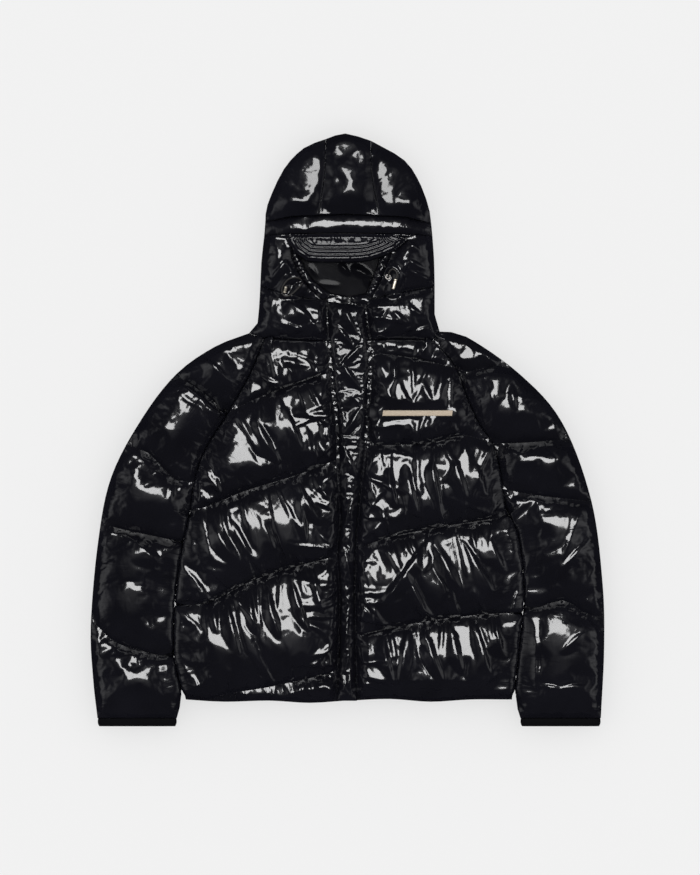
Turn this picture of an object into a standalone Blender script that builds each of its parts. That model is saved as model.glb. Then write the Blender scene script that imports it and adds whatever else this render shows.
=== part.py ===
"""A hooded puffer jacket laid flat, face up, on a surface.

The jacket lies in the XY plane with +Z up, +Y towards the top of the hood and +X towards the
wearer's left. Its padded panels lie in two layers that meet at LEVEL: the back, the under
sleeves and the hood's back rest on the surface, and the panels that face up lie on them.
Each panel is a closed pad, thin along its sewn lines and full between them. Neighbours share
their edges' curves, and each stands back from them by half of GAP.
Tables and sizes are in millimetres, and the finished meshes are in metres.
"""

import math
from collections import namedtuple

import bmesh
import bpy
from mathutils import Vector
from mathutils.geometry import delaunay_2d_cdt

MM = 0.001  # metres in one millimetre

# Driving dimensions, in millimetres.
LEVEL = 36.0  # height at which the two layers of panels meet
GAP = 0.3  # clearance between neighbouring pieces
SEAM = 4.0  # thickness of a pad where it is sewn down flat
UNDER_SEAM = 6.0  # the same in the panels that lie below
QUILT = 7.0  # thickness of a pad along its quilting lines
TOP_EDGE = 20.0  # distance of the points along the edges of the panels that face up
UNDER_EDGE = 37.0  # the same for the panels below
ROW = 10.0  # distance of the first row of points from a sewn line
PEAK_FLOOR = 60.0  # underside of the hood's peak
LINING = 2.0  # thickness of the lining
EMBROIDERY = 1.5  # thickness of the raised stitching on the chest
BAR_SINK = 0.9  # share of the filling's full height to which that stitching presses it
PRESS = 2.0  # how far a pressed stretch reaches past the piece that lies on it
CUFF_DEPTH = 14.5  # length of a cuff binding along the sleeve
CUFF_THICK = 11.0  # thickness of both its layers together
CUFF_SLIT = 1.0  # height of the flattened opening inside a cuff
CORD = 3.0  # diameter of the drawcord
CORD_END = 5.5  # diameter of a metal cord end
EYELET_RADIUS = 5.5
EYELET_HOLE = 2.6
EYELET_THICK = 1.8
EYELET_SEAT = 28.0  # thickness of the pad where the eyelet clamps it

# Curves along which pieces meet or end. Each row is x, y, lift: lift is the thickness of the pad
# at its sewn edge. The wearer's right is at -X.
LINES = {
    "neck_end_right": [(-176, 173, 4), (-161, 167, 6), (-147, 164, 6)],
    "neck_right": [(-147, 164, 6), (-86, 160, 6), (0, 158, 4)],
    "neck_left": [(6, 158, 4), (80, 162, 6), (152, 160, 6)],
    "neck_end_left": [(152, 160, 6), (159, 167, 6), (165, 176, 4)],
    "collar_centre_right": [(0, 238, 4), (0, 158, 4)],
    "collar_centre_left": [(6, 238, 4), (6, 158, 4)],
    "centre_right": [(0, 158, 4), (2, 70, 4), (5, -20, 4), (1, -155, 4), (-4, -250, 4), (-4, -484, 4)],
    "centre_left": [(6, 158, 4), (8, 70, 4), (11, -20, 4), (7, -155, 4), (2, -250, 4), (2, -484, 4)],
    "raglan_right": [
        (-147, 164, 6), (-172, 103, 5), (-212, 32, 5),
        (-255, -38, 5), (-273, -92, 5), (-280, -140, 4),
    ],
    "raglan_left": [
        (152, 160, 6), (192, 113, 5), (213, 58, 5), (238, 5, 5),
        (260, -25, 5), (273, -78, 5), (282, -140, 4),
    ],
    "side_right": [(-280, -140, 4), (-293, -209, 4), (-306, -308, 4), (-306, -407, 4), (-289, -482, 4)],
    "side_left": [
        (282, -140, 4), (302, -182, 4), (311, -250, 4),
        (313, -308, 4), (304, -389, 4), (294, -482, 4),
    ],
    "hem_right": [(-289, -482, 4), (-220, -486, 4), (-140, -484, 4), (-68, -488, 4), (-4, -484, 4)],
    "hem_left": [(2, -484, 4), (76, -481, 4), (148, -486, 4), (220, -482, 4), (294, -482, 4)],
    "arm_outer_right": [
        (-176, 173, 4), (-237, 149, 4), (-305, 101, 4), (-366, 23, 4), (-422, -83, 4),
        (-446, -200, 4), (-459, -349, 4), (-455, -443, 4), (-447, -515, 5),
    ],
    "arm_outer_left": [
        (165, 176, 4), (212, 167, 4), (309, 99, 4), (384, 13, 4), (436, -126, 4),
        (456, -272, 4), (459, -389, 4), (453, -515, 5),
    ],
    "arm_inner_right": [
        (-280, -140, 4), (-296, -209, 4), (-311, -308, 4), (-311, -407, 4), (-297, -473, 4), (-305, -515, 5),
    ],
    "arm_inner_left": [
        (282, -140, 4), (305, -182, 4), (315, -250, 4), (317, -308, 4),
        (309, -389, 4), (301, -477, 4), (309, -515, 5),
    ],
    "wrist_right": [(-305, -515, 5), (-447, -515, 5)],
    "wrist_left": [(309, -515, 5), (453, -515, 5)],
    "collar_outer_right": [(-176, 173, 4), (-161, 191, 4), (-158, 222, 4), (-156, 257, 4)],
    "collar_outer_left": [(165, 176, 4), (156, 207, 4), (156, 230, 4), (156, 256, 4)],
    "cheek_outer_right": [(-156, 257, 4), (-154, 301, 4), (-149, 347, 4)],
    "cheek_outer_left": [(156, 256, 4), (155, 304, 4), (152, 346, 4)],
    "cheek_right": [(-156, 257, 4), (-104, 241, 8), (-44, 231, 10)],
    "cheek_left": [(42, 233, 10), (94, 245, 8), (156, 256, 4)],
    "chin_tip_right": [(-44, 231, 10), (-30, 243, 8)],
    "chin_tip_left": [(34, 243, 8), (42, 233, 10)],
    "chin_right": [(-30, 243, 8), (0, 238, 4)],
    "chin_left": [(6, 238, 4), (34, 243, 8)],
    "face_outer_right": [(-100, 349, 24), (-99, 308, 16), (-80, 266, 12), (-44, 231, 10)],
    "face_outer_left": [(80, 349, 24), (78, 318, 18), (71, 293, 14), (58, 263, 12), (42, 233, 10)],
    "face_inner_right": [(-83, 349, 24), (-84, 308, 14), (-64, 270, 12), (-30, 243, 8)],
    "face_inner_left": [(63, 349, 24), (61, 318, 16), (54, 293, 13), (44, 267, 10), (34, 243, 8)],
    "band_low_right": [(-149, 347, 4), (-124, 348, 18), (-100, 349, 24)],
    "band_low_centre": [(-100, 349, 24), (-10, 351, 26), (80, 349, 24)],
    "band_low_left": [(80, 349, 24), (120, 348, 18), (152, 346, 4)],
    "band_end_right": [(-149, 347, 4), (-147, 372, 4)],
    "band_end_left": [(152, 346, 4), (150, 368, 4)],
    "band_top_right": [(-147, 372, 4), (-100, 381, 18), (-51, 383, 22)],
    "band_top_centre": [(-51, 383, 22), (1, 385, 22), (57, 382, 22)],
    "band_top_left": [(57, 382, 22), (105, 380, 18), (150, 368, 4)],
    "crown_seam_right": [(-39, 520, 5), (-41, 455, 20), (-51, 383, 22)],
    "crown_seam_left": [(42, 517, 5), (43, 455, 20), (57, 382, 22)],
    "crown_outer_right": [(-147, 372, 4), (-143, 403, 4), (-114, 466, 4), (-78, 504, 4), (-39, 520, 5)],
    "crown_outer_centre": [(-39, 520, 5), (-4, 530, 5), (42, 517, 5)],
    "crown_outer_left": [(42, 517, 5), (102, 482, 4), (132, 436, 4), (147, 391, 4), (150, 368, 4)],
    "peak_back": [(-100, 349, 5), (-10, 350, 5), (80, 349, 5)],
    "peak_rim": [
        (-100, 349, 5), (-109, 341, 5), (-94, 317, 5), (-73, 302, 5), (-14, 300, 5),
        (40, 303, 5), (86, 321, 5), (108, 340, 5), (80, 349, 5),
    ],
    "flap_right": [
        (-37, 230, 4), (-30, 101, 4), (-19, 2, 4), (-17, -74, 4), (-12, -155, 4),
        (-17, -220, 4), (-12, -297, 4), (-15, -391, 4), (-19, -484, 4),
    ],
    "flap_left": [
        (31, 222, 4), (42, 130, 4), (37, 22, 4), (32, -34, 4), (22, -121, 4),
        (15, -198, 4), (13, -270, 4), (13, -369, 4), (17, -484, 4),
    ],
}

# Quilting lines, in rows of x, y. Each runs a little past the edges that it meets.
QUILTS = {
    "front_right": [
        [(-224, 26), (-156, 59), (-109, 77), (-35, 101), (8, 113)],
        [(-290, -150), (-233, -130), (-186, -110), (-86, -79), (-32, -58), (12, -42)],
        [(-320, -312), (-253, -310), (-202, -284), (-130, -254), (-35, -229), (4, -218)],
        [(-266, -492), (-224, -473), (-141, -459), (-40, -437), (4, -428)],
    ],
    "front_left": [
        [(0, 139), (60, 136), (130, 126), (200, 108)],
        [(2, -25), (70, -27), (129, -25), (163, -20), (212, -9), (268, -30)],
        [(-4, -222), (68, -193), (130, -180), (179, -171), (273, -157), (312, -156)],
        [(-6, -375), (68, -356), (163, -338), (260, -328), (326, -326)],
    ],
    "arm_right": [
        [(-196, 50), (-212, 32), (-256, 65), (-318, 106)],
        [(-258, -94), (-309, -88), (-356, -41), (-410, -22)],
        [(-280, -206), (-307, -198), (-408, -176), (-456, -162)],
        [(-298, -390), (-332, -403), (-374, -392), (-417, -378), (-470, -326)],
    ],
    "arm_left": [
        [(184, 116), (212, 103), (269, 115), (313, 102)],
        [(250, -25), (328, -22), (410, -15)],
        [(264, -102), (309, -112), (356, -119), (417, -126), (450, -132)],
        [(306, -330), (384, -304), (417, -324), (471, -342)],
    ],
    "back": [
        [(-214, 50), (-120, 92), (0, 108), (120, 92), (220, 50)],
        [(-290, -110), (-150, -70), (0, -52), (150, -70), (290, -110)],
        [(-320, -262), (-160, -222), (0, -204), (160, -222), (322, -262)],
        [(-320, -402), (-160, -372), (0, -356), (160, -372), (322, -402)],
    ],
    "arm_right_under": [
        [(-180, 60), (-256, 70), (-318, 106)],
        [(-250, -84), (-330, -64), (-410, -22)],
        [(-280, -232), (-370, -222), (-458, -214)],
        [(-300, -380), (-380, -376), (-470, -372)],
    ],
    "arm_left_under": [
        [(184, 90), (250, 100), (313, 102)],
        [(250, -74), (328, -50), (414, -30)],
        [(300, -222), (380, -214), (462, -206)],
        [(300, -380), (384, -376), (471, -372)],
    ],
    "hood_back": [
        [(-39, 530), (-44, 400), (-50, 150)],
        [(42, 530), (48, 400), (56, 150)],
    ],
}

# Outlines, as the lines walked in turn; a line after a minus sign is walked backwards.
OUTLINES = {
    "front_right": "neck_right centre_right -hem_right -side_right -raglan_right",
    "front_left": "neck_left raglan_left side_left -hem_left -centre_left",
    "zip": "collar_centre_right centre_right -centre_left -collar_centre_left",
    "flap": "flap_right -flap_left",
    "arm_right": "neck_end_right raglan_right arm_inner_right wrist_right -arm_outer_right",
    "arm_left": "neck_end_left arm_outer_left -wrist_left -arm_inner_left -raglan_left",
    "collar_right": "neck_end_right neck_right -collar_centre_right -chin_right -chin_tip_right -cheek_right "
                    "-collar_outer_right",
    "collar_left": "-collar_centre_left chin_left chin_tip_left cheek_left -collar_outer_left -neck_end_left "
                   "-neck_left",
    "cheek_right": "cheek_right -face_outer_right -band_low_right -cheek_outer_right",
    "cheek_left": "cheek_left cheek_outer_left -band_low_left face_outer_left",
    "channel_right": "face_outer_right chin_tip_right -face_inner_right",
    "channel_left": "face_outer_left -chin_tip_left -face_inner_left",
    "face": "face_inner_right chin_right chin_left -face_inner_left",
    "band": "band_low_right band_low_centre band_low_left band_end_left -band_top_left -band_top_centre "
            "-band_top_right -band_end_right",
    "crown_right": "band_top_right -crown_seam_right -crown_outer_right",
    "crown_centre": "band_top_centre -crown_seam_left -crown_outer_centre crown_seam_right",
    "crown_left": "band_top_left -crown_outer_left crown_seam_left",
    "peak": "peak_back -peak_rim",
    "back": "neck_right neck_left raglan_left side_left -hem_left -hem_right -side_right -raglan_right",
    "hood_back": "neck_end_right neck_right neck_left neck_end_left collar_outer_left cheek_outer_left "
                 "band_end_left -crown_outer_left -crown_outer_centre -crown_outer_right -band_end_right "
                 "-cheek_outer_right -collar_outer_right",
}

# How each kind of piece is filled: puff is how far the filling rises above the sewn lines, roll
# the distance from a sewn line to full thickness, and step the size of the facets.
Filling = namedtuple("Filling", "puff roll step")
FILLINGS = {
    "body": Filling(34, 42, 32),
    "below": Filling(34, 42, 46),
    "cheek": Filling(28, 34, 24),
    "crown": Filling(28, 38, 28),
    "band": Filling(12, 15, 20),
    "channel": Filling(8, 8, 14),
    "flap": Filling(15, 14, 20),
    "peak": Filling(5, 14, 20),
    "flat": Filling(0, 1, 60),
}

# Free stretches of the drawcord, in rows of x, y, z along their middle, from where they leave
# the hood, and each metal end from where the cord goes in to its tip.
CORDS = {
    "drawcord_right": [
        (-82.5, 267, 58), (-87, 270.5, 67.5), (-96, 271.5, 70.5), (-106, 267.5, 69), (-113, 259.5, 66.5),
        (-117, 250, 64.5), (-114.5, 241, 63.5), (-107, 238.5, 63.5), (-98, 243, 66), (-90, 250.5, 68),
        (-84.5, 256.5, 69.5), (-80.5, 261.5, 66),
    ],
    "drawcord_left": [
        (72.2, 272.5, 66.5), (73, 277, 71), (75.5, 283, 74), (80.5, 286, 76), (86, 283, 77.5),
        (88.5, 276, 78), (86.5, 269.5, 77),
    ],
}
CORD_ENDS = {
    "cord_end_right": [(-112.2, 244.2, 64.8), (-109.4, 255.5, 67.8)],
    "cord_end_left": [(86.1, 268.7, 76.8), (81.2, 250.5, 71)],
}
EYELET = (72.2, 272.5)
CHEST_BAR = (62, 25, 188, 35)  # low x, low y, high x, high y

FINISHES = {  # base colour, metallic, roughness
    "shell": ((0.006, 0.006, 0.009), 0.0, 0.16),
    "lining": ((0.008, 0.008, 0.010), 0.0, 0.45),
    "binding": ((0.007, 0.007, 0.008), 0.0, 0.75),
    "cord": ((0.010, 0.010, 0.011), 0.0, 0.70),
    "metal": ((0.62, 0.61, 0.58), 1.0, 0.25),
    "thread": ((0.62, 0.53, 0.42), 0.0, 0.60),
}

Rest = namedtuple("Rest", "outline height")  # a stretch pressed to a height by what lies on it


def clear_scene():
    for obj in list(bpy.data.objects):
        bpy.data.objects.remove(obj, do_unlink=True)


def finish(slot):
    """The material of one finish, made once."""
    found = bpy.data.materials.get(slot)
    if found:
        return found
    colour, metallic, roughness = FINISHES[slot]
    made = bpy.data.materials.new(slot)
    made.use_nodes = True
    shader = made.node_tree.nodes["Principled BSDF"]
    shader.inputs["Base Color"].default_value = (*colour, 1)
    shader.inputs["Metallic"].default_value = metallic
    shader.inputs["Roughness"].default_value = roughness
    return made


def smooth_curve(marks, step):
    """Points about step apart along a smooth curve through the marks."""
    marks = [Vector(mark) for mark in marks]
    walk = [2 * marks[0] - marks[1], *marks, 2 * marks[-1] - marks[-2]]
    made = [marks[0]]
    for a, b, c, d in zip(walk, walk[1:], walk[2:], walk[3:]):
        count = max(1, round((c - b).length / step))
        for t in (i / count for i in range(1, count + 1)):
            bend = (2 * a - 5 * b + 4 * c - d) * t**2 + (3 * b - a - 3 * c + d) * t**3
            made.append(b + ((c - a) * t + bend) / 2)
    return made


def outline_of(name, step=TOP_EDGE, lift=None):
    """The closed outline of a piece, in points of x, y, lift, with each corner once.

    A lift that is given takes the place of the lines' own.
    """
    corner = 2.0  # nearer points than this are one corner
    outline = []
    for walked in OUTLINES[name].split():
        marks = smooth_curve(LINES[walked.lstrip("-")], step)
        for mark in reversed(marks) if walked.startswith("-") else marks:
            if not outline or (mark.xy - outline[-1].xy).length > corner:
                outline.append(mark)
    if (outline[0].xy - outline[-1].xy).length <= corner:
        outline.pop()
    if lift is not None:
        outline = [Vector((mark.x, mark.y, lift)) for mark in outline]
    return outline


def box_outline(low_x, low_y, high_x, high_y, lift):
    corners = [(low_x, low_y), (high_x, low_y), (high_x, high_y), (low_x, high_y)]
    return [Vector((x, y, lift)) for x, y in corners]


def round_outline(x, y, radius, sides=12):
    angles = [2 * math.pi * side / sides for side in range(sides)]
    return [Vector((x + radius * math.cos(a), y + radius * math.sin(a), 0)) for a in angles]


def closed(outline):
    return outline + outline[:1]


def moved_in(outline, distance):
    """The outline moved inwards by the distance, or outwards where that is negative."""
    pairs = zip(outline, outline[1:] + outline[:1])
    way = math.copysign(1, sum(a.x * b.y - b.x * a.y for a, b in pairs))
    made = []
    for i, mark in enumerate(outline):
        before = (mark.xy - outline[i - 1].xy).normalized()
        after = (outline[(i + 1) % len(outline)].xy - mark.xy).normalized()
        across = (before + after).orthogonal() / 2
        across *= way * distance / max(across.length_squared, 0.2)
        made.append(Vector((mark.x + across.x, mark.y + across.y, mark.z)))
    return made


def inside(spot, outline):
    odd = False
    for a, b in zip(outline, outline[1:] + outline[:1]):
        crosses = (a.y > spot.y) != (b.y > spot.y)
        if crosses and spot.x < a.x + (spot.y - a.y) * (b.x - a.x) / (b.y - a.y):
            odd = not odd
    return odd


def nearest(spot, run):
    """(distance, lift) of the nearest place on a run of points."""
    best = (math.inf, 0.0)
    for a, b in zip(run, run[1:]):
        along, out = b.xy - a.xy, spot - a.xy
        t = min(max(out.dot(along) / max(along.length_squared, 1e-9), 0.0), 1.0)
        best = min(best, ((out - t * along).length, a.z + t * (b.z - a.z)))
    return best


def thickness(spot, runs, puff, roll):
    """Thickness of a pad: its sewn lines' own, and the filling that rises between them."""
    found = [nearest(spot, run) for run in runs]
    weights = [(away + 0.05) ** -2 for away, _ in found]
    lift = sum(weight * own for weight, (_, own) in zip(weights, found)) / sum(weights)
    share = min(min(found)[0] / roll, 1.0)
    return lift + puff * math.sqrt(1 - (1 - share) ** 2)


def facet_points(outline, runs, step):
    """Points between the sewn lines: a row along each side of every line, then an even grid."""
    row = min(ROW, step / 3)
    wanted = []
    for run in runs:
        for a, b in zip(run, run[1:]):
            across = (b.xy - a.xy).orthogonal().normalized() * row
            middle = (a.xy + b.xy) / 2
            wanted += [(middle + across, row * 0.8), (middle - across, row * 0.8)]
    low = Vector((min(mark.x for mark in outline), min(mark.y for mark in outline)))
    high = Vector((max(mark.x for mark in outline), max(mark.y for mark in outline)))
    rise = step * math.sqrt(3) / 2
    for j in range(int((high.y - low.y) / rise) + 1):
        for i in range(int((high.x - low.x) / step) + 1):
            wanted.append((low + Vector(((i + j % 2 / 2) * step, (j + 0.5) * rise)), step * 0.5))
    kept = []
    for spot, clear in wanted:
        if not inside(spot, outline) or min(nearest(spot, run)[0] for run in runs) < clear:
            continue
        if all((spot - other).length > clear * 1.3 for other in kept):
            kept.append(spot)
    return kept


def triangulate(points, edges, outline):
    """(points, triangles) of the region inside the outline, with the edges kept in it."""
    spots, _, faces, _, _, _ = delaunay_2d_cdt(points, edges, [], 0, 1e-3, False)
    middles = [sum((spots[i] for i in face), Vector((0, 0))) / 3 for face in faces]
    return spots, [face for face, middle in zip(faces, middles) if inside(middle, outline)]


def rim_of(faces):
    """The vertices round the edge of a sheet of triangles, in order."""
    sides = {side for face in faces for side in zip(face, face[1:] + face[:1])}
    after = {a: b for a, b in sides if (b, a) not in sides}
    rim = [min(after)]
    while after[rim[-1]] != rim[0]:
        rim.append(after[rim[-1]])
    return rim


def add_object(name, vertices, faces, slot):
    """One closed mesh as a named object with its finish; the vertices are in millimetres."""
    shell = bmesh.new()
    corners = [shell.verts.new(Vector(vertex) * MM) for vertex in vertices]
    for face in faces:
        shell.faces.new([corners[i] for i in face])
    bmesh.ops.recalc_face_normals(shell, faces=shell.faces)
    mesh = bpy.data.meshes.new(name)
    shell.to_mesh(mesh)
    shell.free()
    mesh.shade_smooth()
    mesh.set_sharp_from_angle(angle=math.radians(50))
    mesh.materials.append(finish(slot))
    obj = bpy.data.objects.new(name, mesh)
    bpy.context.scene.collection.objects.link(obj)
    return obj


def pad(name, outline, kind, quilts=(), rests=(), floor=LEVEL + GAP, slot="shell"):
    """A pad on a flat floor, filled as its kind is between its edges and its quilting lines.

    A pad with a floor below LEVEL hangs from it instead, and is pressed flat on the surface.
    """
    puff, roll, step = FILLINGS[kind]
    hangs = floor < LEVEL
    outline = moved_in(outline, GAP / 2)
    quilt_lift = UNDER_SEAM if hangs else QUILT
    seams = [smooth_curve([(x, y, quilt_lift) for x, y in quilt], step * 0.8) for quilt in quilts]
    runs = [closed(outline), *seams]
    points, edges = [], []
    for run in [*runs, *(closed(rest.outline) for rest in rests)]:
        edges += [(i, i + 1) for i in range(len(points), len(points) + len(run) - 1)]
        points += [mark.xy for mark in run]
    points += facet_points(outline, [*runs, *(closed(rest.outline) for rest in rests)], step)
    spots, faces = triangulate(points, edges, outline)

    number, vertices = {}, []
    for i in sorted({i for face in faces for i in face}):
        thick = thickness(spots[i], runs, puff, roll)
        for rest in rests:
            if inside(spots[i], rest.outline) or nearest(spots[i], closed(rest.outline))[0] < GAP:
                thick = min(thick, rest.height)
        number[i] = len(vertices)
        vertices.append((*spots[i], max(0.0, floor - thick) if hangs else floor + thick))
    shell = [[number[i] for i in face] for face in faces]

    rim = rim_of(faces)
    base = {i: len(vertices) + k for k, i in enumerate(rim)}
    vertices += [(*spots[i], floor) for i in rim]
    shell += [(number[a], base[a], base[b], number[b]) for a, b in zip(rim, rim[1:] + rim[:1])]
    shell.append([base[i] for i in rim])
    return add_object(name, vertices, shell, slot)


def turned(name, profile, start, end, sides):
    """A metal piece: rows of radius and height, turned round the line from start to end.

    A profile whose first row lies on the line is a rod, and any other is a ring.
    """
    turn = Vector((0, 0, 1)).rotation_difference(end - start)
    shell = bmesh.new()
    rows = [shell.verts.new((radius * MM, 0, height * MM)) for radius, height in profile]
    for a, b in zip(rows, rows[1:]):
        shell.edges.new((a, b))
    if profile[0][0] > 0:
        shell.edges.new((rows[-1], rows[0]))
    bmesh.ops.spin(
        shell, geom=shell.verts[:] + shell.edges[:], axis=(0, 0, 1), cent=(0, 0, 0),
        angle=2 * math.pi, steps=sides, use_merge=True,
    )
    bmesh.ops.remove_doubles(shell, verts=shell.verts, dist=1e-6)
    bmesh.ops.recalc_face_normals(shell, faces=shell.faces)
    mesh = bpy.data.meshes.new(name)
    shell.to_mesh(mesh)
    shell.free()
    mesh.shade_smooth()
    mesh.set_sharp_from_angle(angle=math.radians(40))
    mesh.materials.append(finish("metal"))
    obj = bpy.data.objects.new(name, mesh)
    obj.location = start * MM
    obj.rotation_mode = "QUATERNION"
    obj.rotation_quaternion = turn
    bpy.context.scene.collection.objects.link(obj)
    return obj


def cord(name, route):
    """A round cord along its route, a curve with filled ends."""
    curve = bpy.data.curves.new(name, "CURVE")
    curve.dimensions = "3D"
    curve.bevel_depth = CORD / 2 * MM
    curve.bevel_resolution = 2
    curve.use_fill_caps = True
    path = smooth_curve(route, 2 * CORD)
    spline = curve.splines.new("POLY")
    spline.points.add(len(path) - 1)
    for point, spot in zip(spline.points, path):
        point.co = (*(spot * MM), 1)
    curve.materials.append(finish("cord"))
    obj = bpy.data.objects.new(name, curve)
    bpy.context.scene.collection.objects.link(obj)
    return obj


def cord_end(name, start, end):
    """A metal tip with rounded ends."""
    start, end = Vector(start), Vector(end)
    length, radius = (end - start).length, CORD_END / 2
    rim = radius / 4
    profile = [
        (0, 0), (radius - rim, 0), (radius, rim),
        (radius, length - rim), (radius - rim, length), (0, length),
    ]
    return turned(name, profile, start, end, sides=12)


def eyelet(name, x, y):
    """A metal ring that clamps its pressed spot on the pad."""
    rim = 0.5
    low, high = Vector((x, y, LEVEL + EYELET_SEAT + 2 * GAP)), Vector((x, y, 2 * LEVEL))
    profile = [
        (EYELET_HOLE, 0), (EYELET_RADIUS, 0),
        (EYELET_RADIUS, EYELET_THICK - rim), (EYELET_RADIUS - rim, EYELET_THICK),
        (EYELET_HOLE + rim, EYELET_THICK), (EYELET_HOLE, EYELET_THICK - rim),
    ]
    return turned(name, profile, low, high, sides=16)


def cuff(name, wrist):
    """A flattened band round the sleeve's end, with a slit between its two layers."""
    low_x, high_x = sorted(mark[0] for mark in LINES[wrist])
    top_y = LINES[wrist][0][1] - GAP
    turns = 5

    def loop(half, inset):
        ends = [(high_x - inset - half, -90), (low_x + inset + half, 90)]
        angles = [(x, math.radians(start + 180 * i / turns)) for x, start in ends for i in range(turns + 1)]
        return [(x + half * math.cos(angle), LEVEL + half * math.sin(angle)) for x, angle in angles]

    section = loop(CUFF_THICK / 2, 0) + loop(CUFF_SLIT / 2, CUFF_THICK / 2)
    count, layer = len(section) // 2, len(section)
    vertices = [(x, y, z) for y in (top_y, top_y - CUFF_DEPTH) for x, z in section]
    faces = []
    for i, j in ((i, (i + 1) % count) for i in range(count)):
        for k in (0, layer):
            faces.append((k + i, k + j, k + count + j, k + count + i))
        for k in (0, count):
            faces.append((k + i, k + j, k + layer + j, k + layer + i))
    return add_object(name, vertices, faces, "binding")


def upper(name, outline, kind, rests=()):
    """A padded piece that faces up."""
    pad(name, outline_of(outline), kind, QUILTS.get(outline, ()), rests)


def under(name, outline, quilts):
    """A padded piece that rests on the surface."""
    pad(name, outline_of(outline, UNDER_EDGE), "below", QUILTS[quilts], floor=LEVEL - GAP)


def body(flap, bar):
    """The two fronts with the closure between them, and the back."""
    upper("front_right", "front_right", "body", [flap])
    upper("front_left", "front_left", "body", [flap, bar])
    pad("zip", outline_of("zip"), "flat", slot="binding")
    pad("placket", outline_of("flap"), "flap", floor=LEVEL + SEAM + 2 * GAP)
    bar_floor = LEVEL + bar.height + 2 * GAP
    pad("chest_bar", box_outline(*CHEST_BAR, EMBROIDERY), "flat", floor=bar_floor, slot="thread")
    under("back", "back", "back")


def sleeves():
    for side in ("right", "left"):
        upper(f"sleeve_{side}_top", f"arm_{side}", "body")
        under(f"sleeve_{side}_under", f"arm_{side}", f"arm_{side}_under")
        cuff(f"cuff_{side}", f"wrist_{side}")


def hood(flap, peak, spot):
    """The collar, the cheeks round the face opening, the crown with its band, and the peak."""
    for side in ("right", "left"):
        upper(f"collar_{side}", f"collar_{side}", "cheek", [flap])
        upper(f"hood_side_{side}", f"cheek_{side}", "cheek", [peak, spot])
        upper(f"hood_channel_{side}", f"channel_{side}", "channel", [peak])
        upper(f"crown_{side}", f"crown_{side}", "crown")
    upper("crown_centre", "crown_centre", "crown")
    upper("hood_band", "band", "band")
    pad("visor", outline_of("peak"), "peak", floor=PEAK_FLOOR)
    pad("hood_lining", outline_of("face", lift=LINING), "flat", slot="lining")
    under("hood_back", "hood_back", "hood_back")


def drawcord():
    """The eyelet, the cord's free stretches and their metal ends."""
    eyelet("eyelet_left", *EYELET)
    for name, route in CORDS.items():
        cord(name, route)
    for name, (start, end) in CORD_ENDS.items():
        cord_end(name, start, end)


def main():
    clear_scene()
    bar_height = SEAM + FILLINGS["body"].puff * BAR_SINK
    flap = Rest(moved_in(outline_of("flap"), -PRESS), SEAM)
    bar = Rest(moved_in(box_outline(*CHEST_BAR, 0), -PRESS), bar_height)
    peak = Rest(moved_in(outline_of("peak"), -PRESS), PEAK_FLOOR - LEVEL - 3 * GAP)
    spot = Rest(round_outline(*EYELET, EYELET_RADIUS + PRESS), EYELET_SEAT)
    body(flap, bar)
    sleeves()
    hood(flap, peak, spot)
    drawcord()


main()
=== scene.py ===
"""A hooded puffer jacket laid flat, face up: padded panels, trims, drawcord, floor and lights.

The wearer's left is at +X and the top of the hood at +Y. Each padded panel starts as a sheet over
its CAD node, sewn down along the node's edge and quilting lines. Gathers and folds give it spare
cloth, and one simulation then fills all the panels at once.
Lengths are in metres, apart from those of folds, gathers and the cords' marks, in millimetres.
"""

import logging
import math
import random
from collections.abc import Callable
from dataclasses import dataclass
from enum import Enum
from functools import reduce

import bmesh
import bpy
import numpy as np
from mathutils import Matrix, Vector
from mathutils.bvhtree import BVHTree
from mathutils.geometry import delaunay_2d_cdt


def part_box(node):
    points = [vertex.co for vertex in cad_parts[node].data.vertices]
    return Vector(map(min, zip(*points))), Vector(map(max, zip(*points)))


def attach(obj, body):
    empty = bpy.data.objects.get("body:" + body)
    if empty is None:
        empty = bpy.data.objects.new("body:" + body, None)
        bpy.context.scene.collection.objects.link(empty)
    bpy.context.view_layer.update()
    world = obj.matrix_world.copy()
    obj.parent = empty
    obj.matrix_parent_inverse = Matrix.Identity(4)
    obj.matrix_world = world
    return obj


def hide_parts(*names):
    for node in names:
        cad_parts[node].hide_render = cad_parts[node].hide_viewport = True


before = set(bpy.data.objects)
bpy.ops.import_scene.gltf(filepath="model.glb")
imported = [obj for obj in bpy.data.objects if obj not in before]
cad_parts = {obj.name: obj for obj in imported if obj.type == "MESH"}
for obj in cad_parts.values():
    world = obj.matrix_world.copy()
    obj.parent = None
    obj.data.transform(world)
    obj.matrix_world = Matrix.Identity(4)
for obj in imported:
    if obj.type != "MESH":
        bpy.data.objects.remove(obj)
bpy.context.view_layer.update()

MM = 0.001
BODY = "root"
LOG = logging.getLogger("jacket")

Triple = tuple[float, float, float]
Socket = bpy.types.NodeSocket
Material = bpy.types.Material
Piece = bpy.types.Object


# ---------------------------------------------------------------- materials


class Slot(Enum):
    """The record's material slots."""

    SHELL = "shell"
    LINING = "lining"
    BINDING = "binding"
    CORD = "cord"
    METAL = "metal"
    THREAD = "thread"


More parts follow.
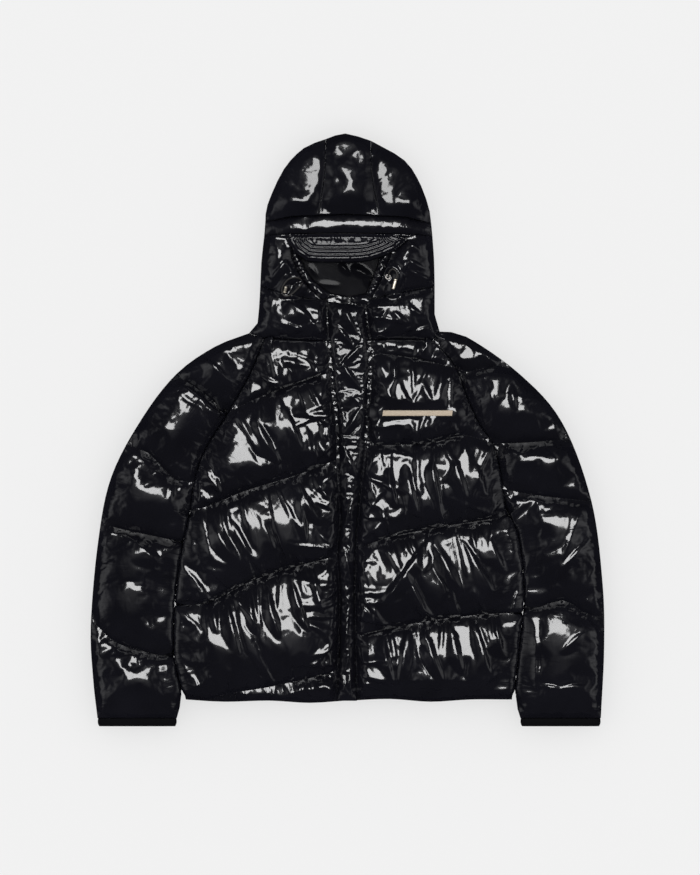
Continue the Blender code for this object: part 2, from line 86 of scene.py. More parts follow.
class Wiring:
    """The nodes of one material or group, added and joined in short calls."""

    def __init__(self, tree: bpy.types.NodeTree) -> None:
        """Keeps the tree that the nodes go into."""
        self.tree = tree

    def add(self, kind: str, inputs: dict | None = None, **settings: object) -> bpy.types.Node:
        """Adds a node.

        Args:
            kind: the node's type, without the word ShaderNode.
            inputs: values or source sockets, by input name or number.
            settings: the node's own properties.

        Returns:
            The node.
        """
        node = self.tree.nodes.new("ShaderNode" + kind)
        for name, value in settings.items():
            setattr(node, name, value)
        for name, value in (inputs or {}).items():
            if isinstance(value, Socket):
                self.tree.links.new(value, node.inputs[name])
            else:
                node.inputs[name].default_value = value
        return node

    def math(self, operation: str, *values: object) -> Socket:
        """Adds a Math node and returns its result."""
        return self.add("Math", dict(enumerate(values)), operation=operation).outputs[0]

    def times(self, *values: object) -> Socket:
        """Multiplies two or more values and returns the result."""
        return reduce(lambda first, second: self.math("MULTIPLY", first, second), values)

    def span(self, value: Socket, low: float, high: float, *to: float) -> Socket:
        """Maps a value from low and high to another two ends, clamped, and returns the result."""
        return self.add("MapRange", dict(enumerate((value, low, high, *to))), clamp=True).outputs[0]

    def noise(
        self, where: Socket, rate: object, detail: float, rough: float = 0.5, bent: float = 0.0,
        **settings: object,
    ) -> Socket:
        """Adds a noise of that many features a metre and returns its value."""
        inputs = {"Vector": where, "Scale": rate, "Detail": detail, "Roughness": rough, "Distortion": bent}
        return self.add("TexNoise", inputs, **settings).outputs[0]

    def place(self) -> Socket:
        """The place on the object, in metres."""
        return self.add("TexCoord").outputs["Object"]

    def mapped(self, name: str) -> bpy.types.NodeOutputs:
        """The two numbers of a UV map."""
        return self.add("SeparateXYZ", {0: self.add("UVMap", uv_map=name).outputs[0]}).outputs


def creased(wiring: Wiring, taken: bpy.types.NodeOutputs) -> Socket:
    """Fine creases that run mostly up and down the garment: a height in metres."""
    turned = {"Vector": wiring.place(), "Rotation": (0, 0, -0.35), "Scale": (1.3, 0.5, 1)}
    where = wiring.add("Mapping", turned, vector_type="POINT").outputs[0]
    ridges = wiring.noise(where, taken[0], 2.0, 0.5, 0.6, noise_type="RIDGED_MULTIFRACTAL")
    return wiring.times(ridges, taken[1])


def puckered(wiring: Wiring, taken: bpy.types.NodeOutputs) -> Socket:
    """Small gathers square to the sewn lines, from the UV map along and off them: a height in metres."""
    depth, rate, usual_reach = (taken[i] for i in range(3))
    runs_on, patches = 0.14, 0.3  # how slowly the gathers change off the seam, and their reach along it
    where = wiring.mapped("gather")
    run = wiring.times(where[0], rate)
    spot = wiring.add("CombineXYZ", {0: run, 1: wiring.times(where[1], rate, runs_on)}).outputs[0]
    waves = wiring.noise(spot, 1.0, 2.0, 0.45)
    folds = wiring.math("ABSOLUTE", wiring.math("MULTIPLY_ADD", waves, 2.0, -1.0))
    patch = wiring.add("CombineXYZ", {0: wiring.times(run, patches)}).outputs[0]
    reach = wiring.times(usual_reach, wiring.span(wiring.noise(patch, 1.0, 1.0), 0.35, 0.65, 0.4, 1.8))
    fade = wiring.math("EXPONENT", wiring.times(wiring.math("DIVIDE", where[1], reach), -1.0))
    return wiring.times(folds, fade, depth)


def woven(wiring: Wiring, taken: bpy.types.NodeOutputs) -> Socket:
    """A plain weave of warp and weft: its height from 0 to 1."""
    where = wiring.add("SeparateXYZ", {0: wiring.place()}).outputs
    rate = wiring.times(taken[0], math.pi)
    warp, weft = (wiring.math("SINE", wiring.times(where[axis], rate)) for axis in (0, 1))
    return wiring.math("ABSOLUTE", wiring.times(warp, weft))


def handled(wiring: Wiring, taken: bpy.types.NodeOutputs) -> Socket:
    """Uneven handling: a mask from 0 to 1 with soft patches and fine speckle."""
    grain, share = 900.0, 0.25  # the speckle's rate per metre, and its share of the mask
    where = wiring.place()
    patches, speckle = wiring.noise(where, taken[0], 3.0), wiring.noise(where, grain, 1.0)
    mixed = wiring.math("MULTIPLY_ADD", speckle, share, wiring.times(patches, 1 - share))
    return wiring.span(mixed, 0.35, 0.65, 0.0, 1.0)


@dataclass(frozen=True)
class Effect:
    """A shader node group that surfaces share: numbers in, one number out."""

    name: str
    wire: Callable[[Wiring, bpy.types.NodeOutputs], Socket]
    inputs: tuple[tuple[str, float], ...]

    def add_to(self, wiring: Wiring, *values: float) -> Socket:
        """Adds the group, which is made once, to a material.

        Args:
            wiring: the material's wiring.
            values: the group's first inputs. The others keep their usual values.

        Returns:
            The group's result.
        """
        if self.name not in bpy.data.node_groups:
            tree = bpy.data.node_groups.new(self.name, "ShaderNodeTree")
            for title, usual in self.inputs:
                socket = tree.interface.new_socket(title, in_out="INPUT", socket_type="NodeSocketFloat")
                socket.default_value = usual
            tree.interface.new_socket("Result", in_out="OUTPUT", socket_type="NodeSocketFloat")
            taken, given = tree.nodes.new("NodeGroupInput"), tree.nodes.new("NodeGroupOutput")
            tree.links.new(self.wire(Wiring(tree), taken.outputs), given.inputs[0])
        group = bpy.data.node_groups[self.name]
        return wiring.add("Group", dict(enumerate(values)), node_tree=group).outputs[0]


CREASES = Effect("crinkle", creased, (("Creases per metre", 60.0), ("Depth", 0.0003)))
PUCKERS = Effect("gathers", puckered, (("Depth", 0.001), ("Gathers per metre", 95.0), ("Reach", 0.022)))
WEAVE = Effect("plain_weave", woven, (("Threads per metre", 1800.0),))
HANDLING = Effect("handling", handled, (("Patches per metre", 14.0),))


@dataclass(frozen=True)
class Finish:
    """A material, made once, whose shade and gloss follow a mask."""

    name: str
    colour: Triple

    def material(self) -> Material:
        """Makes the material once and returns it."""
        if self.name not in bpy.data.materials:
            made = bpy.data.materials.new(self.name)
            made.use_nodes = True
            self.wire(Wiring(made.node_tree), made.node_tree.nodes["Principled BSDF"].inputs)
        return bpy.data.materials[self.name]

    def wire(self, wiring: Wiring, inputs: bpy.types.NodeInputs) -> None:
        """Joins the finish's own nodes to the shader's inputs."""
        raise NotImplementedError

    def lead(
        self, wiring: Wiring, inputs: bpy.types.NodeInputs, mask: Socket, shade: Triple,
        rough: tuple[float, float], height: Socket,
    ) -> None:
        """Leads the shader's colour, gloss and relief.

        Args:
            wiring: the material's wiring.
            inputs: the shader's inputs.
            mask: 0 for the shade and 1 for the finish's colour.
            shade: the colour where the mask is 0.
            rough: the roughness where the mask is 0, and where it is 1.
            height: the relief, in metres.
        """
        colours = {6: (*shade, 1), 7: (*self.colour, 1)}
        led = {
            "Base Color": wiring.add("Mix", {0: mask, **colours}, data_type="RGBA").outputs[2],
            "Roughness": wiring.span(mask, 0.0, 1.0, *rough),
            "Normal": wiring.add("Bump", {"Height": height, "Distance": 1.0}).outputs[0],
        }
        for name, socket in led.items():
            wiring.tree.links.new(socket, inputs[name])


@dataclass(frozen=True)
class Cloth(Finish):
    """A woven finish: its gloss, weave, creases and gathers."""

    rough: tuple[float, float]
    specular: float = 0.5
    threads: float = 1800.0  # per metre
    weave: float = 0.0  # depth of the weave
    creases: float = 60.0  # per metre
    depth: float = 0.0003  # depth of the creases
    gathers: float = 0.0  # depth of the gathers beside its sewn lines

    def wire(self, wiring: Wiring, inputs: bpy.types.NodeInputs) -> None:
        """Joins the cloth's nodes to the shader's inputs."""
        inputs["Specular IOR Level"].default_value = self.specular
        creases = CREASES.add_to(wiring, self.creases, self.depth)
        height = wiring.math("MULTIPLY_ADD", WEAVE.add_to(wiring, self.threads), self.weave, creases)
        if self.gathers:
            height = wiring.math("ADD", height, PUCKERS.add_to(wiring, self.gathers))
        dark = tuple(0.7 * part for part in self.colour)
        self.lead(wiring, inputs, HANDLING.add_to(wiring), dark, self.rough, height)


@dataclass(frozen=True)
class Strand(Finish):
    """A twisted or braided finish that follows its piece's UV map: u round it and v along it. Its colour
    falls to painted shade in the grooves between its strands.
    """

    # shade: painted shade, the darker colour in the grooves between the strands
    shade: Triple
    rough: float
    plait: float  # length of one turn of the strands
    depth: float
    starts: int = 4
    specular: float = 0.12

    def wire(self, wiring: Wiring, inputs: bpy.types.NodeInputs) -> None:
        """Joins the strands' nodes to the shader's inputs."""
        inputs["Specular IOR Level"].default_value = self.specular
        where = wiring.mapped("UVMap")
        round_it = wiring.times(where[0], self.starts)
        lengthwise = wiring.math("DIVIDE", where[1], self.plait)
        turns = [wiring.math("MULTIPLY_ADD", lengthwise, way, round_it) for way in (1.0, -1.0)]
        waves = [wiring.math("SINE", wiring.times(turn, 2 * math.pi)) for turn in turns]
        height = wiring.span(wiring.times(*waves), -1.0, 1.0, 0.0, 1.0)
        rough = (self.rough + 0.15, self.rough)  # duller between the strands
        # The colour darkens to self.shade between the strands: painted shade in the grooves.
        self.lead(wiring, inputs, height, self.shade, rough, wiring.times(height, self.depth))


@dataclass(frozen=True)
class Plated(Finish):
    """A plated metal with fine polishing marks and dull patches."""

    rough: tuple[float, float]

    def wire(self, wiring: Wiring, inputs: bpy.types.NodeInputs) -> None:
        """Joins the metal's nodes to the shader's inputs."""
        inputs["Metallic"].default_value = 1.0
        rate, depth = 300.0, 0.00002  # the marks, per metre and in metres
        marks = HANDLING.add_to(wiring, rate)
        dull = tuple(0.6 * part for part in self.colour)
        self.lead(wiring, inputs, marks, dull, self.rough, wiring.times(marks, depth))


BLACK = (0.0065, 0.0065, 0.0095)
FINE = 0.000002  # depth of a coated weave
SHELL = Cloth("shell_coated", BLACK, (0.06, 0.11), specular=0.15, weave=FINE, gathers=0.001)
FLAP = Cloth("shell_flap", BLACK, (0.06, 0.11), specular=0.12, weave=FINE, gathers=0.0003)
PEAK = Cloth("shell_peak", BLACK, (0.07, 0.11), specular=0.06, weave=FINE, creases=140.0, depth=0.00005)
LINING = Cloth("lining_smooth", (0.006, 0.006, 0.008), (0.08, 0.12), specular=0.02, weave=FINE, depth=0.0001)
BINDING = Cloth(
    "binding_knit", (0.004, 0.004, 0.005), (0.6, 0.8), specular=0.01,
    threads=700.0, weave=0.0002, depth=0.0001,
)
TAPE = Cloth("zip_tape", (0.008, 0.008, 0.010), (0.5, 0.7), threads=900.0, weave=0.0001, depth=0.00005)
TEETH = Cloth("teeth_moulded", (0.010, 0.010, 0.011), (0.25, 0.4), depth=0.00002)
# The second colour of each strand finish is painted shade for the grooves between its strands.
BLACK_THREAD = Strand("thread_black", (0.014, 0.014, 0.018), (0.006, 0.006, 0.008), 0.35, 0.0012, 0.00005, 2)
ECRU = Strand("thread_ecru", (0.74, 0.64, 0.52), (0.42, 0.34, 0.25), 0.42, 0.0016, 0.00006, 2)
CORD = Strand("cord_braid", (0.030, 0.027, 0.026), (0.010, 0.009, 0.009), 0.5, 0.004, 0.0002)
METAL = Plated("metal_dark", (0.07, 0.066, 0.062), (0.46, 0.34))
PALE_METAL = Plated("metal_pale", (0.36, 0.33, 0.28), (0.6, 0.48))


# ---------------------------------------------------------------- meshes


def add_piece(name: str, points: object, faces: object, material: Material) -> Piece:
    """Makes an object at the origin from points and faces.

    Args:
        name: the piece's name.
        points: its corners.
        faces: their numbers, a row for each face.
        material: its finish.

    Returns:
        The object, smooth shaded.
    """
    mesh = bpy.data.meshes.new(name)
    mesh.from_pydata([tuple(map(float, p)) for p in points], [], [tuple(map(int, f)) for f in faces])
    mesh.materials.append(material)
    mesh.shade_smooth()
    made = bpy.data.objects.new(name, mesh)
    bpy.context.scene.collection.objects.link(made)
    return made


def place(piece: Piece, slot: Slot, *nodes: str) -> Piece:
    """Lets a piece ride on the body, in place of the CAD nodes that it stands for."""
    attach(piece, BODY)
    if nodes:
        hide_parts(*nodes)
    LOG.info("%s: %d faces", piece.name, len(piece.data.polygons))
    return piece


def add_wall(piece: Piece, thick: float) -> None:
    """Gives a thin shell its thickness, on its inner side."""
    wall = piece.modifiers.new("wall", "SOLIDIFY")
    wall.thickness = thick
    wall.offset = -1.0


def ring_faces(count: int, around: int) -> list[tuple[int, int, int, int]]:
    """The faces between rows of points that each run round something.

    Args:
        count: the number of points in all the rows.
        around: the number of points in a row.
    """
    faces = []
    for start in range(0, count - around, around):
        for k in range(around):
            a, b = start + k, start + (k + 1) % around
            faces.append((a, b, b + around, a + around))
    return faces


def smooth_curve(marks: list[Triple], step: float) -> list[Vector]:
    """Points about a step apart along a smooth curve through the marks."""
    marks = [Vector(mark) for mark in marks]
    walk = [2 * marks[0] - marks[1], *marks, 2 * marks[-1] - marks[-2]]
    made = [marks[0]]
    for a, b, c, d in zip(walk, walk[1:], walk[2:], walk[3:]):
        count = max(1, round((c - b).length / step))
        for t in (i / count for i in range(1, count + 1)):
            bend = (2 * a - 5 * b + 4 * c - d) * t**2 + (3 * b - a - 3 * c + d) * t**3
            made.append(b + ((c - a) * t + bend) / 2)
    return made


def deselect() -> None:
    """Leaves nothing selected, so that an operator acts only on what it makes."""
    if bpy.context.object and bpy.context.object.mode != "OBJECT":
        bpy.ops.object.mode_set(mode="OBJECT")
    bpy.ops.object.select_all(action="DESELECT")


@dataclass
class Facets:
    """A merged copy of a CAD node's mesh."""

    points: np.ndarray
    faces: np.ndarray

    @classmethod
    def of(cls, node: str) -> "Facets":
        """Copies and merges a node's loose triangles."""
        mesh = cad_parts[node].data
        mesh.calc_loop_triangles()
        points = np.empty(3 * len(mesh.vertices), np.float32)
        mesh.vertices.foreach_get("co", points)
        faces = np.empty(3 * len(mesh.loop_triangles), np.int32)
        mesh.loop_triangles.foreach_get("vertices", faces)
        points, index = np.unique(np.round(points.reshape(-1, 3), 5), axis=0, return_inverse=True)
        a, b, c = index.reshape(-1)[faces].reshape(-1, 3).T
        whole = (a != b) & (b != c) & (c != a)
        return cls(points.astype(float), np.column_stack([a, b, c])[whole])

    def turned(self, down: bool) -> np.ndarray:
        """The faces that look up, or down."""
        a, b, c = (self.points[self.faces[:, i]] for i in range(3))
        normals = np.cross(b - a, c - a)
        normals /= np.linalg.norm(normals, axis=1)[:, None] + 1e-12
        lean = 0.02
        return self.faces[normals[:, 2] < -lean if down else normals[:, 2] > lean]


def edge_set(faces: np.ndarray) -> set[tuple[int, int]]:
    """The directed edges of a mesh's triangles."""
    pairs = np.concatenate([faces[:, (0, 1)], faces[:, (1, 2)], faces[:, (2, 0)]])
    return set(map(tuple, pairs.tolist()))


def open_loop(edges: set[tuple[int, int]]) -> list[int]:
    """The numbers of the corners along a sheet's open edge, walked once."""
    after = {a: b for a, b in edges if (b, a) not in edges}
    loop = [min(after)]
    while after[loop[-1]] != loop[0]:
        loop.append(after[loop[-1]])
        if len(loop) > len(after):
            raise ValueError("the open edge isn't one loop")
    return loop


def whole_ring(ring: list[int], faces: np.ndarray, flat: np.ndarray) -> list[int]:
    """The ring with the corners that lie on its edges put in."""
    edges = edge_set(faces)
    whole = []
    for a, b in zip(ring, ring[1:] + ring[:1]):
        whole.append(a)
        if (a, b) not in edges:
            between = (v for u, v in edges if u == a and (v, b) in edges)
            ways = ((math.dist(flat[a], flat[v]) + math.dist(flat[v], flat[b]), v) for v in between)
            whole.append(min(ways)[1])
    return whole


def enclosed(faces: np.ndarray, ring: list[int]) -> np.ndarray:
    """The triangles within a ring of joined corners, when both run anticlockwise."""
    rim = set(zip(ring, ring[1:] + ring[:1]))
    owner = {}
    for number, (a, b, c) in enumerate(faces.tolist()):
        owner[a, b] = owner[b, c] = owner[c, a] = number
    found = {owner[ring[0], ring[1]]}
    fresh = list(found)
    while fresh:
        a, b, c = faces[fresh.pop()].tolist()
        for edge in ((a, b), (b, c), (c, a)):
            other = owner.get(edge[::-1])
            if edge not in rim and other is not None and other not in found:
                found.add(other)
                fresh.append(other)
    return faces[sorted(found)]


def gap_to(
    points: np.ndarray, starts: np.ndarray, ends: np.ndarray
) -> tuple[np.ndarray, np.ndarray, np.ndarray]:
    """The nearest of some straight stretches to each point, seen from above.

    Returns:
        The distance, the stretch's number, and the nearest place on it.
    """
    best = np.full(len(points), np.inf)
    which = np.zeros(len(points), int)
    where = np.zeros((len(points), 2))
    for i, (a, b) in enumerate(zip(starts, ends)):
        way = b - a
        share = np.clip(((points - a) @ way) / max(way @ way, 1e-12), 0, 1)
        spot = a + share[:, None] * way
        gap = np.hypot(*(points - spot).T)
        near = gap < best
        best[near], which[near], where[near] = gap[near], i, spot[near]
    return best, which, where


def gap_round(points: np.ndarray, outline: np.ndarray) -> np.ndarray:
    """The distance from each point to a closed outline, seen from above."""
    return gap_to(points, outline, np.roll(outline, -1, 0))[0]


def area_of(outline: np.ndarray) -> float:
    """The area within an outline, below 0 where it runs clockwise."""
    x, y = outline.T
    return float(x @ np.roll(y, -1) - np.roll(x, -1) @ y) / 2


def inside(points: np.ndarray, outline: np.ndarray) -> np.ndarray:
    """Which points lie inside an outline, seen from above."""
    odd = np.zeros(len(points), bool)
    for a, b in zip(outline, np.roll(outline, -1, 0)):
        if a[1] == b[1]:
            continue
        between = (a[1] > points[:, 1]) != (b[1] > points[:, 1])
        odd ^= between & (points[:, 0] < a[0] + (points[:, 1] - a[1]) * (b[0] - a[0]) / (b[1] - a[1]))
    return odd


# ---------------------------------------------------------------- padded panels


@dataclass(frozen=True)
class Fold:
    """A ridge in the cloth, in millimetres: from where to where, its half width, its rise and its lean.

    A lean above 0 gives its right side, seen along it, the wider slope.
    """

    x0: float
    y0: float
    x1: float
    y1: float
    width: float = 9.0
    rise: float = 4.0
    lean: float = 0.3

    def heights(self, points: np.ndarray, from_seam: bool = False) -> np.ndarray:
        """How far the fold lifts each point, in metres.

        Args:
            points: places, seen from above.
            from_seam: the fold is highest near its start, as a gather is beside its seam.
        """
        foot, tip = np.array([self.x0, self.y0]) * MM, np.array([self.x1, self.y1]) * MM
        way = tip - foot
        length = float(np.hypot(*way))
        way /= length
        t = ((points - foot) @ way) / length
        u = (points[:, 0] - foot[0]) * way[1] - (points[:, 1] - foot[1]) * way[0]
        near = (t > 0) & (t < 1) & (np.abs(u) < 2.5 * self.width * MM)
        t, u = t[near], u[near]
        if from_seam:
            onset = 6 * MM
            spread, taper = 0.5 + 0.7 * t, np.minimum(1, t * length / onset) * (1 - t) ** 0.9
        else:
            spread, taper = np.sin(math.pi * t) ** 0.6, np.sin(math.pi * t) ** 0.8
        half = self.width * MM * (0.15 + 0.85 * spread) * np.where(u > 0, 1 + self.lean, 1 - self.lean)
        lifted = np.zeros(len(points))
        lifted[near] = self.rise * MM * taper * np.maximum(0, 1 - np.abs(u) / half)
        return lifted


@dataclass(frozen=True)
class Gathers:
    """Small folds that a sewn line gathers: their spacing, length, width and rise in millimetres."""

    spacing: float
    length: tuple[float, float]
    width: tuple[float, float]
    rise: tuple[float, float]
    slant: float = 0.35  # largest turn from square to the seam, in radians


@dataclass(frozen=True)
class Rest:
    """Something that lies on the cloth along a line and presses it, as a cord does."""

    line: tuple[Vector, ...]
    radius: float  # how far from the line it touches the cloth
    sink: float  # how far the cloth lies under the line
    spread: float = 14.0 * MM  # how far round it the cloth gives way

    def fit(self, points: np.ndarray) -> np.ndarray:
        """The heights of the cloth with the line bedded on it.

        Args:
            points: the cloth's points.

        Returns:
            Their new heights.
        """
        clear, give = 0.15 * MM, 12 * MM
        marks = np.array([tuple(mark) for mark in self.line])
        heights = points[:, 2].copy()
        near = np.full(len(points), np.inf)
        bed = np.zeros(len(points))
        for a, b in zip(marks, marks[1:]):
            way = b[:2] - a[:2]
            share = np.clip(((points[:, :2] - a[:2]) @ way) / max(way @ way, 1e-12), 0, 1)
            gap = np.hypot(*(points[:, :2] - a[:2] - share[:, None] * way).T)
            closer = gap < near
            near[closer] = gap[closer]
            bed[closer] = (a[2] + share * (b[2] - a[2]))[closer]
        bed -= self.sink + clear
        slack = np.clip((near - self.radius) / self.spread, 0, 1) ** 1.5 * give
        bedded = np.clip(heights, bed - slack, bed + slack)
        held = near < self.radius + self.spread
        heights[held] = bedded[held]
        return heights


@dataclass
class Panel:
    """One padded panel: a filled sheet over its CAD node."""

    node: str
    number: int  # starts its random draws
    pitch: float = 3.0 * MM
    spare: float = 0.04  # share by which the cloth is longer than its place
    quilted: Gathers = Gathers(26.0, (30.0, 110.0), (5.0, 12.0), (2.0, 6.0), 0.35)
    edged: Gathers = Gathers(60.0, (10.0, 45.0), (4.0, 8.0), (0.8, 2.5), 0.8)
    rests: tuple[Rest, ...] = ()
    hangs: bool = False  # its puffs look down, onto the floor
    finish: Cloth = SHELL
    start: float = 0.85  # share of its full height before it is filled
    fullness: float = 1.0  # above 1 its flanks start flatter than the node's
    sewn: float = 9.0 * MM  # thinner places than this are sewn down
    held: float = 2.5 * MM  # as far as this from a sewn line
    crest: float | None = None  # Y past which it falls away towards the top of the hood
    fill: float = 0.6
    calm: int = 0  # rounds of smoothing once it is filled
    rides: float = 0.0  # how far its sewn lines ride up between the puffs
    slump: float = 0.0  # how far its filling sinks towards the hem, for each unit of height
    reach: float = 4.0 * MM  # how far it may stand over its outline

    def trace(self) -> None:
        """Reads the node's outline, sewn lines and heights, and lays the flat sheet."""
        facets = Facets.of(self.node)
        cad = facets.points
        self.level = cad[:, 2].max() if self.hangs else cad[:, 2].min()
        seen = facets.turned(self.hangs)
        edges = edge_set(seen)
        loop = open_loop(edges)
        if self.hangs:
            loop = loop[::-1]
        thick = np.abs(cad[:, 2] - self.level)
        rim = set(loop)
        seams = sorted(
            (a, b)
            for a, b in edges
            if a < b and (b, a) in edges and not rim.issuperset((a, b))
            and max(thick[a], thick[b]) < self.sewn
        )
        self.outline = cad[loop][:, :2]
        self.seam_lines = [(cad[a], cad[b]) for a, b in seams]
        self.starts = np.array([cad[a][:2] for a, _ in seams] + list(self.outline))
        self.ends = np.array([cad[b][:2] for _, b in seams] + list(np.roll(self.outline, -1, 0)))
        self.lay(cad, loop, seams)
        tree = BVHTree.FromPolygons([Vector(p) for p in cad], seen.tolist())
        self.thick = np.empty(len(self.flat))
        side = -1 if self.hangs else 1
        for i, (x, y) in enumerate(self.flat):
            hit = tree.ray_cast(Vector((x, y, side)), Vector((0, 0, -side)))
            if hit[0] is None:
                hit = tree.find_nearest(Vector((x, y, self.level)))
            self.thick[i] = abs(hit[0].z - self.level)
        self.gap, _, _ = gap_to(self.flat, self.starts, self.ends)
        self.pinned = (self.gap < 0.1 * MM) | ((self.thick < self.sewn) & (self.gap < self.held))

    def lay(self, cad: np.ndarray, loop: list[int], seams: list[tuple[int, int]]) -> None:
        """Fills the outline with triangles whose edges follow every sewn line."""
        marks: list[np.ndarray] = []
        joins: list[tuple[int, int]] = []
        known: dict[int, int] = {}

        def spot(number: int) -> int:
            """The number of a CAD corner among the marks."""
            if number not in known:
                known[number] = len(marks)
                marks.append(cad[number][:2])
            return known[number]

        def walk(first: int, last: int) -> None:
            """Joins two marks by steps of about a pitch."""
            a, b = marks[first], marks[last]
            count = max(1, round(float(np.hypot(*(b - a))) / self.pitch))
            run = [first]
            for i in range(1, count):
                run.append(len(marks))
                marks.append(a + (b - a) * i / count)
            run.append(last)
            joins.extend(zip(run, run[1:]))

        for a, b in zip(loop, loop[1:] + loop[:1]):
            walk(spot(a), spot(b))
        rim_joins = list(joins)
        for a, b in seams:
            walk(spot(a), spot(b))
        low, high = self.outline.min(0), self.outline.max(0)
        xs = np.arange(low[0], high[0] + self.pitch, self.pitch)
        ys = np.arange(low[1], high[1] + self.pitch, self.pitch * math.sqrt(3) / 2)
        grid_x, grid_y = np.meshgrid(xs, ys)
        grid_x = grid_x + (np.arange(len(ys)) % 2)[:, None] * self.pitch / 2
        grid = np.column_stack([grid_x.ravel(), grid_y.ravel()])
        shake, clear = 0.14, 0.55  # shares of the pitch
        grid += np.random.default_rng(self.number).uniform(-shake, shake, grid.shape) * self.pitch
        grid = grid[inside(grid, self.outline)]
        grid = grid[gap_to(grid, self.starts, self.ends)[0] > clear * self.pitch]
        cloud = [Vector(mark) for mark in np.vstack([marks, grid])]
        flat, _, faces, sources, *_ = delaunay_2d_cdt(cloud, joins, [], 0, 1e-6, True)
        made_of = {source: number for number, each in enumerate(sources) for source in each}
        ring = [made_of[first] for first, _ in rim_joins]
        flat, faces = np.array([tuple(mark) for mark in flat]), np.array(faces)
        used, faces = np.unique(enclosed(faces, whole_ring(ring, faces, flat)), return_inverse=True)
        self.flat, self.faces = flat[used], faces.reshape(-1, 3)
        self.ring = open_loop(edge_set(self.faces))
        if self.hangs:
            self.faces = self.faces[:, ::-1]
        pairs = np.concatenate([self.faces[:, (0, 1)], self.faces[:, (1, 2)], self.faces[:, (2, 0)]])
        self.pairs = np.unique(np.sort(pairs, 1), axis=0)
        self.neighbours = np.bincount(self.pairs.ravel(), minlength=len(self.flat))

    def ride_up(self, others: list["Panel"]) -> None:
        """Lets the sewn lines ride up between the puffs, apart from those along the open edge.

        Args:
            others: the panels that lie beside it.
        """
        fade, meets, flank = 18 * MM, 1.5 * MM, 8 * MM
        joined = np.zeros(len(self.outline), bool)
        for other in others:
            joined |= gap_round(self.outline, other.outline) < meets
        after = np.roll(self.outline, -1, 0)
        loose = ~(joined & np.roll(joined, -1))

        def share(points: np.ndarray) -> np.ndarray:
            """How far up each point may ride, from 0 to 1."""
            if not loose.any():
                return np.ones(len(points))
            gap, _, _ = gap_to(points, self.outline[loose], after[loose])
            return np.clip(gap / fade, 0, 1) ** 2

        self.thick = self.thick + self.rides * share(self.flat) * np.clip(1 - self.gap / flank, 0, 1)
        if self.seam_lines:
            ends = np.array(self.seam_lines)
            for side in (0, 1):
                ends[:, side, 2] += self.rides * share(ends[:, side, :2])
            self.seam_lines = list(ends)

    def cut(self) -> None:
        """Gives the sheet its first height, with its gathers and folds."""
        lowest, rounded = 7.0 * MM, 12 * MM
        full, low = self.thick.max(), min(lowest, self.thick.min())
        swell = low + (full - low) * (np.clip(self.thick - low, 0, None) / (full - low)) ** self.fullness
        rounds = round((rounded / self.pitch) ** 2)
        lift = self.smoothed(np.where(self.pinned, self.thick, self.start * swell), rounds)
        self.raise_by(lift + self.gathered())

    def raise_by(self, lift: np.ndarray) -> None:
        """Sets the sheet's points at a height over its level, or below it where it hangs."""
        self.points = np.column_stack([self.flat, self.level + (-lift if self.hangs else lift)])

    def total_round(self, values: np.ndarray) -> np.ndarray:
        """The sum of each point's neighbours."""
        a, b = self.pairs.T
        return np.bincount(a, values[b], len(values)) + np.bincount(b, values[a], len(values))

    def smoothed(self, values: np.ndarray, rounds: int) -> np.ndarray:
        """Evens values out between neighbours, apart from the sewn points."""
        for _ in range(rounds):
            even = 0.4 * values + 0.6 * self.total_round(values) / self.neighbours
            values = np.where(self.pinned, values, even)
        return values

    def gathered(self) -> np.ndarray:
        """The rise of each point in small folds square to the seams, and in the listed folds."""
        draw = random.Random(self.number)
        made = np.zeros(len(self.flat))
        rim_side = math.copysign(1.0, area_of(self.outline))
        seams = len(self.seam_lines)
        for i, (a, b) in enumerate(zip(self.starts, self.ends)):
            length = float(np.hypot(*(b - a))) / MM
            style, sides = (self.quilted, (1.0, -1.0)) if i < seams else (self.edged, (rim_side,))
            for side in sides:
                for _ in range(int(length / style.spacing + draw.random())):
                    t, turn = draw.random(), draw.uniform(-1, 1) * style.slant
                    foot = (a + (b - a) * t) / MM
                    way = math.atan2(b[1] - a[1], b[0] - a[0]) + side * math.pi / 2 + turn
                    reach = draw.uniform(*style.length)
                    fold = Fold(
                        *foot, foot[0] + reach * math.cos(way), foot[1] + reach * math.sin(way),
                        draw.uniform(*style.width), draw.uniform(*style.rise), draw.uniform(-0.5, 0.5),
                    )
                    made += fold.heights(self.flat, from_seam=True)
        for fold in FOLDS.get(self.node, ()):
            made += Fold(*fold).heights(self.flat)
        flank = 12 * MM
        return np.where(self.pinned, 0, made * np.minimum(1, self.gap / flank))

    def sheet(self) -> Piece:
        """The sheet with its cloth settings, ready to be filled."""
        self.cloth = add_piece(self.node + "_cloth", self.points, self.faces, self.finish.material())
        held = self.cloth.vertex_groups.new(name="sewn")
        held.add(np.nonzero(self.pinned)[0].tolist(), 1.0, "REPLACE")
        settings = self.cloth.modifiers.new("cloth", "CLOTH")
        settings.collision_settings.use_collision = False
        settings.point_cache.frame_start = 1
        settings.point_cache.frame_end = Filling.frames + 1
        fabric = settings.settings
        fabric.quality = Filling.steps
        fabric.mass = Filling.mass
        fabric.tension_stiffness = fabric.compression_stiffness = Filling.stretch
        fabric.shear_stiffness = 0.6 * Filling.stretch
        fabric.bending_stiffness = Filling.bend
        fabric.air_damping = Filling.damping
        fabric.use_pressure = True
        fabric.uniform_pressure_force = Filling.pressure
        fabric.vertex_group_mass = "sewn"
        fabric.shrink_min = -self.spare
        fabric.effector_weights.gravity = 0.0
        return self.cloth

